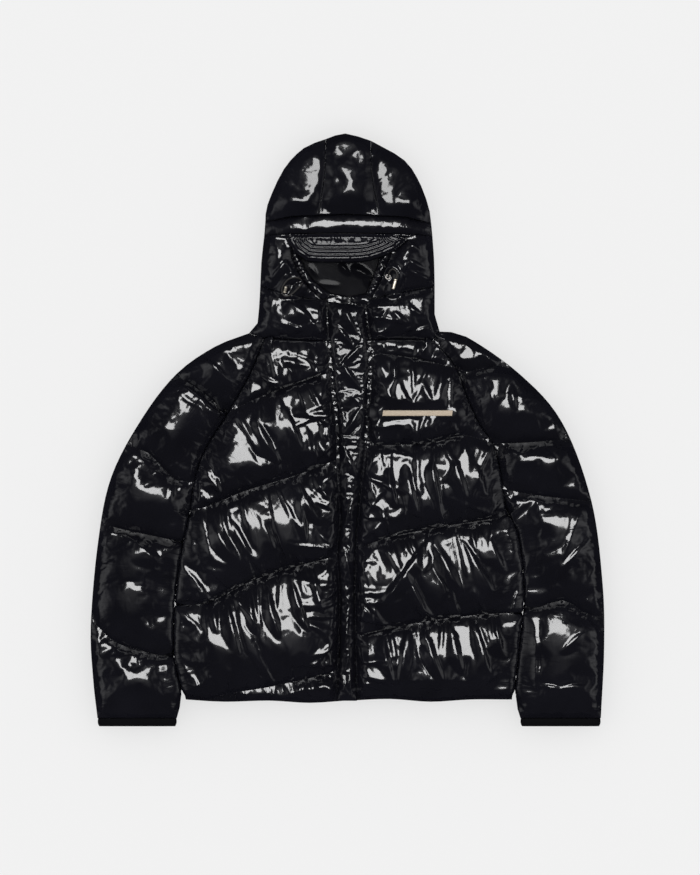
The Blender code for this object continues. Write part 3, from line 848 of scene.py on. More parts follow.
    def take(self, graph: bpy.types.Depsgraph) -> None:
        """Reads the filled cloth back and removes the simulated object."""
        filled = np.empty(3 * len(self.points), np.float32)
        self.cloth.evaluated_get(graph).data.vertices.foreach_get("co", filled)
        moved = filled.reshape(-1, 3).astype(float) - self.points
        far = np.linalg.norm(moved, axis=1)
        moved *= np.minimum(1, Filling.cap / np.maximum(far, 1e-9))[:, None]
        LOG.info("%s: %d points, moved up to %.1f mm", self.node, len(far), far.max() / MM)
        self.points = self.points + moved
        mesh = self.cloth.data
        bpy.data.objects.remove(self.cloth)
        bpy.data.meshes.remove(mesh)

    def settle(self, neighbours: list["Panel"]) -> None:
        """Trims the filled cloth: at its seams, over its flanks, under what lies on it and at the floor.

        Args:
            neighbours: the panels that its flanks may lie against.
        """
        firm, lowest = 16 * MM, 0.5 * MM
        self.tidy_rim()
        self.ease()
        self.points[:, 2] = self.smoothed(self.points[:, 2], self.calm)
        self.points[:, 1] -= self.slump * np.clip(self.points[:, 2] - self.level - firm, 0, None)
        if self.crest is not None:
            self.fall_away()
        if self.slump > 0:
            self.fall_to_hem()
        for other in neighbours:
            self.lean_out(other)
        for rest in self.rests:
            self.points[:, 2] = rest.fit(self.points)
        self.points[:, 2] = np.maximum(self.points[:, 2], lowest)

    def tidy_rim(self) -> None:
        """Brings cloth that bulges over the outline or across a seam back to it."""
        spots = self.points[:, :2]
        gap, which, where = gap_to(spots, self.starts, self.ends)
        way = self.ends - self.starts
        a, d = self.starts[which], way[which]
        side_now = np.sign(d[:, 0] * (spots[:, 1] - a[:, 1]) - d[:, 1] * (spots[:, 0] - a[:, 0]))
        side_then = np.sign(d[:, 0] * (self.flat[:, 1] - a[:, 1]) - d[:, 1] * (self.flat[:, 0] - a[:, 0]))
        over = (side_now != side_then) & ~self.pinned & (gap > 1e-6)
        keep = np.where(which < len(self.seam_lines), 0.5 * MM, self.reach)
        share = keep * np.tanh(gap / keep) / np.maximum(gap, 1e-9)
        pulled = where + (spots - where) * share[:, None]
        self.points[over, :2] = pulled[over]

    def ease(self) -> None:
        """Takes the small kinks out of the cloth beside its sewn lines."""
        rounds, reach, strength = 3, 12 * MM, 0.5
        share = np.where(self.pinned, 0, strength * np.clip(1 - self.gap / reach, 0, 1))
        for _ in range(rounds):
            total = np.column_stack([self.total_round(part) for part in self.points.T])
            self.points += share[:, None] * (total / self.neighbours[:, None] - self.points)

    def fall_away(self) -> None:
        """Lowers the cloth past its crest, more and more steeply to the top of the hood."""
        low, high, top, drop = 7 * MM, 43 * MM, 531 * MM, 1.9
        past = np.clip((self.points[:, 1] - self.crest) / (top - self.crest), 0, 1)
        over = self.smoothed(self.points[:, 2] - self.level, 60) - (low + high * (1 - past**drop))
        self.points[:, 2] -= np.where(past > 0, np.clip(over, 0, None), 0)

    def fall_to_hem(self) -> None:
        """Lowers the cloth evenly down to the hem."""
        low, slope = 8 * MM, 0.75
        above = self.points[:, 1] - self.outline[:, 1].min()
        over = self.smoothed(self.points[:, 2] - self.level, 8) - (low + slope * above)
        self.points[:, 2] -= np.where(self.pinned, 0, np.clip(over, 0, None))

    def lean_out(self, other: "Panel") -> None:
        """Rounds the flank out over the gap where it lies loose against another panel."""
        touching, loose, reach, full, roll = 1 * MM, 14 * MM, 30 * MM, 38 * MM, 0.7
        hem, fade = -488 * MM, 25 * MM
        first = len(self.seam_lines)
        gap, _, where = gap_to(self.flat, self.starts[first:], self.ends[first:])
        apart = gap_round(where, other.outline)
        share = np.clip(np.abs(self.points[:, 2] - self.level) / full, 0, 1)
        high = np.clip((share - 0.35) / 0.5, 0, 1)
        high = high * high * (3 - 2 * high)
        bulge = (apart / 2 - 0.1 * MM) * np.clip(2 * np.sin(math.pi * np.minimum(share / roll, 1)), 0, 1)
        wanted = gap * high - bulge * (1 - high)
        push = np.clip(gap - wanted, 0, None) * np.clip(1 - (gap / reach) ** 3, 0, 1)
        meets = (apart > touching) & (apart < loose) & ~self.pinned & (gap < reach)
        above_hem = np.clip((where[:, 1] - hem) / fade, 0, 1)
        out = (where - self.flat) / np.maximum(gap, 1e-6)[:, None]
        self.points[:, :2] += out * np.where(meets, push * above_hem, 0)[:, None]

    def map_gathers(self, mesh: bpy.types.Mesh, points: np.ndarray) -> None:
        """Gives the mesh a UV map: u along the nearest sewn line and v the distance from it, in metres."""
        plain, jump, apart = 0.5, 0.02, 3.0  # v without gathers, a step in u between lines, u of the quilting
        gap, which, where = gap_to(points[:, :2], self.starts, self.ends)
        first = len(self.seam_lines)
        steps = np.hypot(*(self.ends - self.starts).T)
        steps[:first] = 0
        run = (np.cumsum(steps) - steps)[which] + np.hypot(*(where - self.starts[which]).T)
        run = np.where(which < first, where[:, 0] + apart, run)
        corners = np.empty(len(mesh.loops), np.int32)
        mesh.loops.foreach_get("vertex_index", corners)
        uv = np.column_stack([run, gap])[corners]
        for face in mesh.polygons:
            own = slice(face.loop_start, face.loop_start + face.loop_total)
            if np.ptp(uv[own, 0]) > jump:
                uv[own] = (0.0, plain)
        mesh.uv_layers.new(name="gather").data.foreach_set("uv", uv.astype(np.float32).ravel())

    def close(self) -> Piece:
        """Adds the wall and the flat far side, and places the finished piece."""
        loop = self.ring[::-1] if self.hangs else self.ring
        count = len(self.points)
        base = self.points[loop].copy()
        base[:, 2] = self.level
        points = np.vstack([self.points, base])
        after = loop[1:] + loop[:1]
        low = list(range(count, count + len(loop)))
        low_after = low[1:] + low[:1]
        walls = [(b, a, c, d) for a, b, c, d in zip(loop, after, low, low_after)]
        faces = [*self.faces.tolist(), *walls, low[::-1]]
        piece = add_piece(self.node + "_quilted", points, faces, self.finish.material())
        piece.data.polygons[len(piece.data.polygons) - 1].use_smooth = False
        self.map_gathers(piece.data, points)
        seams = len(self.seam_lines)
        if seams:
            from_seam, _, _ = gap_to(points[:, :2], self.starts[:seams], self.ends[:seams])
            on_seam = (from_seam < 0.1 * MM) & (np.arange(len(points)) < count)
            for edge in piece.data.edges:
                a, b = edge.vertices
                edge.use_edge_sharp = bool(on_seam[a] and on_seam[b])
        return place(piece, Slot.SHELL, self.node)


class Filling:
    """Fills every panel at once: air pressure swells the cloth between its seams."""

    frames = 26
    steps = 5
    mass = 0.15
    stretch = 15.0
    bend = 0.5
    damping = 4.0
    pressure = 4.0
    cap = 30 * MM  # the furthest that a point may move
    lying_together = (
        {"front_right", "sleeve_right_top"},
        {"front_left", "sleeve_left_top"},
        {"back", "sleeve_right_under"},
        {"back", "sleeve_left_under"},
    )

    def __init__(self, panels: list[Panel]) -> None:
        """Keeps the panels that are filled together."""
        self.panels = panels

    def run(self) -> None:
        """Cuts, fills and trims the panels."""
        for panel in self.panels:
            panel.trace()
        for panel in self.panels:
            if panel.rides:
                panel.ride_up([other for other in self.panels if other is not panel and not other.hangs])
        for panel in self.panels:
            panel.cut()
            panel.sheet()
        LOG.info("filling %d points", sum(len(panel.points) for panel in self.panels))
        scene = bpy.context.scene
        for number in range(1, self.frames + 1):
            scene.frame_set(number)
        graph = bpy.context.evaluated_depsgraph_get()
        for panel in self.panels:
            panel.take(graph)
        for panel in self.panels:
            panel.settle([other for other in self.panels if {panel.node, other.node} in self.lying_together])
        scene.frame_set(1)


# The main creases of each node: from x, y to x, y, then half width, rise and lean.
FOLDS = {
    "front_right": (
        (-176, 12, -150, -36, 9, 5, 0.5),
        (-166, 34, -118, -50, 15, 8, 0.6),
        (-110, 50, -80, -24, 10, 6, 0.5),
        (-60, 40, -44, -12, 8, 4, 0.4),
        (-264, -48, -222, -108, 20, 7, 0.5),
        (-96, -76, -42, -160, 14, 8, 0.6),
        (-84, -104, -72, -190, 10, 7, 0.6),
        (-214, -128, -206, -176, 8, 4, 0.4),
        (-246, -150, -190, -224, 16, 7, 0.5),
        (-206, -150, -168, -214, 11, 5, 0.5),
        (-150, -150, -128, -206, 9, 4, 0.5),
        (-250, -284, -228, -352, 12, 6, 0.5),
        (-216, -292, -190, -384, 14, 7, 0.6),
        (-176, -282, -160, -352, 11, 6, 0.5),
        (-142, -276, -118, -356, 13, 7, 0.6),
        (-98, -262, -70, -346, 11, 6, 0.5),
        (-60, -252, -40, -318, 9, 5, 0.5),
        (-150, 100, -112, 84, 10, 5, 0.3),
        (-120, 134, -64, 118, 12, 5, 0.3),
    ),
    "front_left": (
        (60, 104, 96, 44, 13, 7, 0.6),
        (92, 96, 122, 30, 11, 6, 0.5),
        (134, 98, 158, 44, 10, 5, 0.5),
        (28, 96, 52, 46, 9, 5, 0.5),
        (72, -58, 88, -130, 12, 7, 0.5),
        (104, -52, 128, -146, 14, 8, 0.6),
        (150, -44, 166, -122, 12, 7, 0.5),
        (190, -40, 214, -112, 13, 7, 0.5),
        (228, -50, 248, -110, 11, 6, 0.4),
        (34, -60, 52, -120, 9, 5, 0.4),
        (138, -196, 58, -300, 14, 8, -0.5),
        (104, -236, 150, -330, 16, 9, 0.6),
        (160, -196, 206, -274, 16, 8, 0.6),
        (206, -188, 262, -280, 18, 8, 0.6),
        (252, -182, 282, -250, 12, 6, 0.4),
        (60, -366, 82, -440, 12, 7, 0.5),
        (104, -358, 92, -446, 13, 7, -0.4),
        (136, -346, 172, -436, 15, 8, 0.6),
        (184, -342, 206, -424, 13, 7, 0.5),
        (226, -336, 254, -424, 13, 7, 0.5),
        (264, -338, 280, -404, 9, 5, 0.4),
        (40, 140, 140, 132, 12, 5, 0.3),
    ),
    "sleeve_right_top": (
        (-260, 128, -214, 84, 12, 6, 0.4),
        (-300, 84, -250, 42, 13, 6, 0.4),
        (-262, 60, -232, 10, 9, 4, 0.4),
        (-360, -28, -308, -80, 7, 3, 0.2),
        (-312, -100, -316, -132, 6, 4, 0.0),
        (-396, -190, -334, -246, 24, 5, 0.3),
        (-404, -376, -334, -402, 9, 5, 0.4),
    ),
    "sleeve_left_top": (
        (230, 150, 280, 110, 12, 6, 0.4),
        (292, 80, 300, 28, 8, 5, 0.4),
        (250, 70, 268, 30, 8, 4, 0.4),
        (336, -216, 300, -330, 8, 7, 0.2),
        (420, -136, 368, -276, 9, 5, -0.3),
        (438, -190, 360, -278, 8, 4, -0.3),
        (336, -330, 336, -468, 10, 6, 0.3),
        (338, -458, 384, -468, 7, 3, 0.3),
        (380, -466, 424, -460, 7, 2, 0.3),
        (378, -406, 420, -366, 10, 5, 0.4),
    ),
    "collar_right": (
        (-116, 238, -66, 196, 18, 4, 0.3),
        (-134, 196, -76, 178, 8, 4, 0.3),
        (-132, 186, -100, 170, 6, 4, 0.3),
    ),
    "collar_left": (
        (45, 204, 58, 188, 5, 5, 0.4),
        (58, 192, 70, 214, 5, 5, -0.4),
        (80, 212, 106, 190, 10, 5, 0.4),
        (108, 222, 130, 206, 7, 5, 0.4),
        (94, 172, 118, 186, 6, 4, 0.3),
        (116, 172, 144, 184, 6, 4, 0.3),
    ),
    "hood_side_right": (
        (-136, 268, -108, 304, 8, 7, 0.5),
        (-108, 304, -96, 274, 7, 6, 0.4),
    ),
    "hood_side_left": (
        (97, 278, 110, 303, 8, 7, -0.5),
        (110, 303, 136, 288, 8, 6, 0.5),
        (107, 286, 152, 266, 6, 5, 0.3),
        (104, 338, 128, 320, 9, 7, 0.4),
    ),
    "placket": (
        (-32, 253, -6, 221, 8, 4, 0.4),
        (-8, 224, 16, 170, 9, 5, 0.4),
        (-20, 190, 8, 150, 8, 4, 0.4),
        (20, 150, -14, 110, 9, 5, -0.4),
        (-10, 120, 24, 70, 9, 5, 0.4),
        (22, 40, -6, -10, 9, 5, -0.4),
        (-6, -30, 16, -84, 9, 5, 0.4),
        (10, -120, -8, -176, 8, 4, -0.4),
        (-6, -210, 6, -268, 7, 4, 0.4),
        (2, -318, -4, -392, 6, 5, 0.4),
        (-12, -428, -4, -470, 6, 4, 0.3),
        (4, -430, 8, -470, 5, 4, 0.3),
    ),
    "hood_lining": (
        (-15, 300, 6, 278, 5, 5, 0.4),
        (4, 290, 44, 272, 9, 7, -0.3),
        (30, 280, 46, 246, 5, 6, 0.3),
        (-67, 296, -54, 274, 4, 2, 0.2),
        (-58, 262, -12, 258, 5, 1.2, 0.0),
    ),
}


def panels_of_the_jacket(cords: "Drawcord") -> list[Panel]:
    """The jacket's filled panels, each with its own cut and what lies on it."""
    fine = Gathers(30.0, (10.0, 45.0), (4.0, 8.0), (0.8, 2.5), 0.6)
    tight = Gathers(6.0, (6.0, 22.0), (2.0, 4.0), (1.0, 2.5))
    crossed = Gathers(90.0, (8.0, 30.0), (3.0, 6.0), (1.0, 3.0), 1.0)
    sparse = Gathers(70.0, (10.0, 40.0), (5.0, 9.0), (1.0, 2.5), 0.6)
    front = {"calm": 1, "rides": 9 * MM, "slump": 0.5}
    sleeve = {
        "quilted": Gathers(13.0, (8.0, 32.0), (3.0, 7.0), (1.0, 3.0), 0.5),
        "edged": Gathers(150.0, (10.0, 30.0), (4.0, 8.0), (0.8, 2.0), 0.6),
        "fullness": 1.4,
        "spare": 0.02,
        "calm": 1,
        "rides": 4 * MM,
        "slump": -0.35,
    }
    flat = {"pitch": 2.5 * MM, "spare": 0.02}
    hood = {"edged": sparse, "rests": cords.rests(), "calm": 1, "rides": 5 * MM, **flat}
    crown = {"edged": fine, "crest": 392 * MM, "calm": 5, "rides": 7 * MM, "finish": FLAP, **flat}
    channel = {
        "pitch": 2 * MM, "spare": 0.2, "edged": tight, "sewn": 8 * MM, "reach": 1.5 * MM, "finish": FLAP,
    }
    below = {"pitch": 8.0 * MM, "hangs": True, "held": 20 * MM}
    return [
        Panel("front_right", 1, **front),
        Panel("front_left", 2, rests=ChestBar().rests(), **front),
        Panel("sleeve_right_top", 3, **sleeve),
        Panel("sleeve_left_top", 4, **sleeve),
        Panel("collar_right", 5, **hood),
        Panel("collar_left", 6, **hood),
        Panel("hood_side_right", 7, **hood),
        Panel("hood_side_left", 8, **hood),
        Panel("crown_right", 9, **crown),
        Panel("crown_centre", 10, **crown),
        Panel("crown_left", 11, **crown),
        Panel("hood_band", 12, pitch=2.5 * MM, edged=sparse, spare=0.01, calm=3),
        Panel("hood_channel_right", 13, **channel),
        Panel("hood_channel_left", 14, **channel),
        Panel("placket", 15, pitch=2.5 * MM, edged=crossed, reach=2 * MM, finish=FLAP),
        Panel("back", 17, **below),
        Panel("sleeve_right_under", 18, **below),
        Panel("sleeve_left_under", 19, **below),
        Panel("hood_back", 20, **below),
    ]


@dataclass
class Peak:
    """The stiff peak over the face, sewn through in rows along its rim."""

    node: str = "visor"
    pitch: float = 1.5 * MM
    spacing: float = 6.3 * MM  # distance between sewn rows
    first: float = 1.5 * MM  # from the rim to the first of them
    count: int = 5
    ridge: float = 1.7 * MM  # rise of the padding between two rows
    thinnest: float = 2.0 * MM
    uneven: float = 5.5 * MM  # length over which a ridge's rise changes

    def build(self) -> None:
        """Makes the peak: ridges in front, gathered cloth behind."""
        cloth = Panel(self.node, 16, pitch=self.pitch, finish=PEAK, sewn=0.1 * MM)
        cloth.trace()
        front = cloth.outline[:, 1] < cloth.outline[:, 1].max() - 6 * MM
        after = np.roll(cloth.outline, -1, 0)
        both = front | np.roll(front, -1)
        rim, _, where = gap_to(cloth.flat, cloth.outline[both], after[both])
        depth = (rim - self.first) / self.spacing
        rows = np.abs(np.sin(math.pi * depth)) ** 1.3
        phases = np.random.default_rng(16).uniform(0, 6, 3)
        run = where[:, 0] / self.uneven
        waves = sum(
            np.sin(run * rate + np.floor(depth) * shift + phase)
            for rate, shift, phase in zip((1.3, 2.9, 4.7), (2.1, 4.4, 1.7), phases)
        ) / 3
        ridges = self.ridge * rows * (1 + 0.2 * waves)

        def creases(way: float, wide: float, phase: float) -> np.ndarray:
            """Sharp creases some millimetres apart, one after another along a way in radians."""
            run = cloth.flat @ (math.cos(way), math.sin(way)) / (wide * MM)
            return np.sin(run + phase) ** 3 * wide * 0.12 * MM

        crossing = ((0.1, 2.3, 0.4), (0.5, 3.4, 1.0), (-0.4, 2.9, 2.0), (1.5, 4.5, 0.0))
        gathered = self.ridge + sum(creases(*each) for each in crossing)
        behind = np.clip((depth - self.count + 0.6) / 0.6, 0, 1)
        lift = cloth.thick - self.ridge + (1 - behind) * ridges + behind * gathered
        lift = np.where(cloth.gap < 0.1 * MM, cloth.thick, lift)
        cloth.raise_by(np.maximum(lift, self.thinnest))
        cloth.close()


# ---------------------------------------------------------------- trims


def tube(
    name: str, line: list[Vector], radius: float, material: Material, sides: int = 12, tapered: float = 0.0
) -> Piece:
    """A closed round strand along a line, with a UV map: u round it and v along it in metres.

    Args:
        name: the piece's name.
        line: the points along its middle.
        radius: half its thickness.
        material: its finish.
        sides: the flats round it.
        tapered: the share of its radius that it loses at its two ends.

    Returns:
        The object.
    """
    points, uvs = [], []
    side = (line[1] - line[0]).orthogonal().normalized()
    travelled = 0.0
    for i, mark in enumerate(line):
        ahead = (line[min(i + 1, len(line) - 1)] - line[max(i - 1, 0)]).normalized()
        side = (side - side.dot(ahead) * ahead).normalized()
        up = ahead.cross(side)
        travelled += (mark - line[i - 1]).length if i else 0.0
        size = radius * (1 - tapered if i in (0, len(line) - 1) else 1)
        for k in range(sides):
            turn = 2 * math.pi * k / sides
            points.append(mark + size * (math.cos(turn) * side + math.sin(turn) * up))
            uvs.append((k / sides, travelled))
    ends = [tuple(range(sides))[::-1], tuple(range(len(points) - sides, len(points)))]
    made = add_piece(name, points, ring_faces(len(points), sides) + ends, material)
    layer = made.data.uv_layers.new(name="UVMap").data
    for face in made.data.polygons:
        wraps = len(face.vertices) == 4 and any(v % sides == sides - 1 for v in face.vertices)
        for corner, v in zip(face.loop_indices, face.vertices):
            layer[corner].uv = (1.0 if wraps and v % sides == 0 else uvs[v][0], uvs[v][1])
    return made


def copies(name: str, template: Piece, places: list[Matrix]) -> Piece:
    """One mesh of a modelled template at many places; the template is removed.

    Args:
        name: the piece's name.
        template: the object that is copied, with its UV map if it has one.
        places: where each copy goes.

    Returns:
        The object.
    """
    shape = template.data
    points = np.array([vertex.co for vertex in shape.vertices])
    faces = [tuple(face.vertices) for face in shape.polygons]
    moves = np.array([np.array(each) for each in places])
    spots = (points @ moves[:, :3, :3].transpose(0, 2, 1) + moves[:, None, :3, 3]).reshape(-1, 3)
    joined = [tuple(v + i * len(points) for v in face) for i in range(len(places)) for face in faces]
    made = add_piece(name, spots, joined, shape.materials[0])
    if shape.uv_layers:
        flat = np.empty(2 * len(shape.loops), np.float32)
        shape.uv_layers[0].data.foreach_get("uv", flat)
        made.data.uv_layers.new(name="UVMap").data.foreach_set("uv", np.tile(flat, len(places)))
    bpy.data.objects.remove(template)
    return made


def turn_to(a: Vector, b: Vector, up: Vector) -> Matrix:
    """The turn of something whose X axis runs from a towards b, with Z near up."""
    x = (b - a).normalized()
    y = up.cross(x).normalized()
    return Matrix((x, y, x.cross(y))).transposed().to_4x4()


@dataclass
class Stitches:
    """Rows of thread along sewn lines."""

    length: float = 2.8 * MM
    pitch: float = 5.5 * MM
    radius: float = 0.26 * MM
    bow: float = 0.2 * MM
    raised: float = 0.1 * MM  # how far the thread lies over its line

    def row(self, name: str, lines: list[tuple[Vector, Vector]], down: bool) -> None:
        """Sews stitches along straight stretches and places them.

        Args:
            name: the piece's name.
            lines: the stretches, each from one point to another.
            down: the stitches show on a panel that looks down.
        """
        half = self.length / 2
        bow = [Vector((x * half, 0, (1 - x * x) * self.bow)) for x in (-1, -0.6, 0, 0.6, 1)]
        template = tube(name + "_one", bow, self.radius, BLACK_THREAD.material(), 6, tapered=0.4)
        up = Vector((0, 0, -1 if down else 1))
        places = []
        for a, b in lines:
            a, b = Vector(a), Vector(b)
            count = max(1, round((b - a).length / self.pitch))
            spots = (a.lerp(b, (i + 0.5) / count) + self.raised * up for i in range(count))
            places += [Matrix.Translation(spot) @ turn_to(a, b, up) for spot in spots]
        place(copies(name, template, places), Slot.THREAD)


def turned_piece(
    name: str, profile: list[tuple[float, float]], where: Matrix, material: Material, sides: int = 28
) -> Piece:
    """A turned metal piece, extruded ring by ring from a disc.

    Args:
        name: the piece's name.
        profile: its radius and its height over its foot, ring by ring.
        where: the place of its foot, its axis along Z.
        material: its finish.
        sides: the flats round it.

    Returns:
        The object, with its place in its mesh.
    """
    deselect()
    radius, height = profile[0]
    bpy.ops.mesh.primitive_circle_add(
        vertices=sides, radius=radius, fill_type="NGON", location=(0, 0, height)
    )
    piece = bpy.context.object
    bpy.ops.object.transform_apply(location=True, rotation=True, scale=True)
    bpy.ops.object.mode_set(mode="EDIT")
    for (before, low), (after, high) in zip(profile, profile[1:]):
        bpy.ops.mesh.extrude_region_move(TRANSFORM_OT_translate={"value": (0, 0, high - low)})
        share = after / before
        bpy.ops.transform.resize(value=(share, share, 1), center_override=(0, 0, high))
    bpy.ops.mesh.select_all(action="SELECT")
    bpy.ops.mesh.normals_make_consistent(inside=False)
    bpy.ops.object.mode_set(mode="OBJECT")
    piece.name = piece.data.name = name
    piece.data.materials.append(material)
    piece.data.transform(where)
    bpy.ops.object.shade_smooth_by_angle(angle=math.radians(40))
    deselect()
    return piece


@dataclass
class Cuff:
    """A narrow binding round the flattened end of a sleeve."""

    node: str
    wall: float = 1.8 * MM
    pucker: float = 0.35 * MM
    puckers: int = 38  # round it
    roll: float = 0.7 * MM  # how far its edges turn in
    tuck: float = 2.2 * MM  # how far its far edge turns in besides
    squareness: tuple[float, float] = (0.32, 0.8)  # of the flattened section, across and up
    cut_width: float = 18.0 * MM  # the strip as it was cut, with what is turned under

    def build(self) -> None:
        """Lofts the flattened ring, row by row, and gives it its wall."""
        (x0, y0, z0), (x1, y1, z1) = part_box(self.node)
        middle, half, deep = (x0 + x1) / 2, (x1 - x0) / 2, (z1 - z0) / 2
        around, rows = 220, 9
        draw = random.Random(half)
        beat = [draw.uniform(0.4, 1.0) for _ in range(around)]
        across, up = self.squareness
        points = []
        for t in (row / (rows - 1) for row in range(rows)):
            bulge = self.roll * (math.sin(math.pi * t) - 1) - self.tuck * t**4
            for k in range(around):
                turn = 2 * math.pi * k / around
                ripple = math.sin(turn * self.puckers + 2 * math.sin(5 * turn))
                ridge = self.pucker * beat[k] * ripple * (1 - 0.6 * t)
                cos, sin = math.cos(turn), math.sin(turn)
                x = math.copysign(abs(cos) ** across, cos) * (half + bulge)
                z = math.copysign(abs(sin) ** up, sin) * (deep + bulge + ridge)
                points.append((middle + x, y1 + (y0 - y1) * t, (z0 + z1) / 2 + z))
        piece = add_piece(self.node + "_binding", points, ring_faces(len(points), around), BINDING.material())
        bm = bmesh.new()
        bm.from_mesh(piece.data)
        bmesh.ops.recalc_face_normals(bm, faces=bm.faces)
        bm.to_mesh(piece.data)
        bm.free()
        add_wall(piece, self.wall)
        place(piece, Slot.BINDING, self.node)


@dataclass
class ZipChain:
    """The closed chain that the flap hides: a narrow tape and its teeth."""

    node: str = "zip"
    pitch: float = 2.9 * MM
    tooth: Triple = (4.2 * MM, 1.798 * MM, 1.7 * MM)
    bevel: float = 0.35 * MM
    sway: float = 0.45 * MM  # each tooth's distance to its own side
    tape: tuple[float, float] = (5.0 * MM, 0.9 * MM)
    raised: float = 1.2 * MM  # the tape's face, over the node's underside
    short: float = 2.0 * MM  # what it leaves free at each end

    def middle(self) -> list[Vector]:
        """The chain's line, in even steps from the hem up."""
        (_, y0, z0), (_, y1, _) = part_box(self.node)
        spots = Facets.of(self.node).points
        ys = np.arange(y0 + self.short, y1 - self.short, self.pitch / 2)
        levels = sorted(set(np.round(spots[:, 1], 4)))
        centres = [spots[np.abs(spots[:, 1] - level) < 0.4 * MM, 0].mean() for level in levels]
        return [Vector((x, y, z0 + self.raised)) for x, y in zip(np.interp(ys, levels, centres), ys)]

    def build(self) -> None:
        """Makes the tape and interlocks the teeth along it."""
        line = self.middle()
        wide, thick = self.tape[0] / 2, self.tape[1]
        section = ((-wide, -thick), (wide, -thick), (wide, 0), (-wide, 0))
        points = [mark + Vector((x, 0, z)) for mark in line for x, z in section]
        faces = ring_faces(len(points), 4) + [(0, 1, 2, 3), tuple(range(len(points) - 4, len(points)))[::-1]]
        tape = add_piece("zip_tape", points, [face[::-1] for face in faces], TAPE.material())
        place(tape, Slot.BINDING, self.node)
        deselect()
        bpy.ops.mesh.primitive_cube_add(size=1)
        tooth = bpy.context.object
        tooth.data.transform(Matrix.Diagonal((*self.tooth, 1)))
        bpy.ops.object.mode_set(mode="EDIT")
        bpy.ops.mesh.bevel(offset=self.bevel, segments=1)
        bpy.ops.object.mode_set(mode="OBJECT")
        tooth.data.materials.append(TEETH.material())
        places = [
            Matrix.Translation(mark + Vector((self.sway if i % 2 else -self.sway, 0, thick)))
            for i, mark in enumerate(line[::2])
        ]
        place(copies("zip_teeth", tooth, places), Slot.BINDING)
        deselect()


@dataclass
class Lining:
    """The hood's lining where it shows in the face opening: a thin sheet with soft folds."""

    node: str = "hood_lining"
    wall: float = 1.2 * MM
    flank: float = 8 * MM  # the folds rise over this far from the edge
    gathered_in: float = 1.08  # the folds take up this much more cloth than the opening

    def build(self) -> None:
        """Lays the sheet, lifts its folds and gives it its wall."""
        cloth = Panel(self.node, 40, pitch=2.0 * MM, sewn=0.1 * MM)
        cloth.trace()
        folds = sum(Fold(*fold).heights(cloth.flat) for fold in FOLDS[self.node])
        cloth.raise_by(cloth.thick + cloth.smoothed(folds * np.minimum(1, cloth.gap / self.flank), 4))
        piece = add_piece("hood_lining_sheet", cloth.points, cloth.faces, LINING.material())
        add_wall(piece, self.wall)
        place(piece, Slot.LINING, self.node)


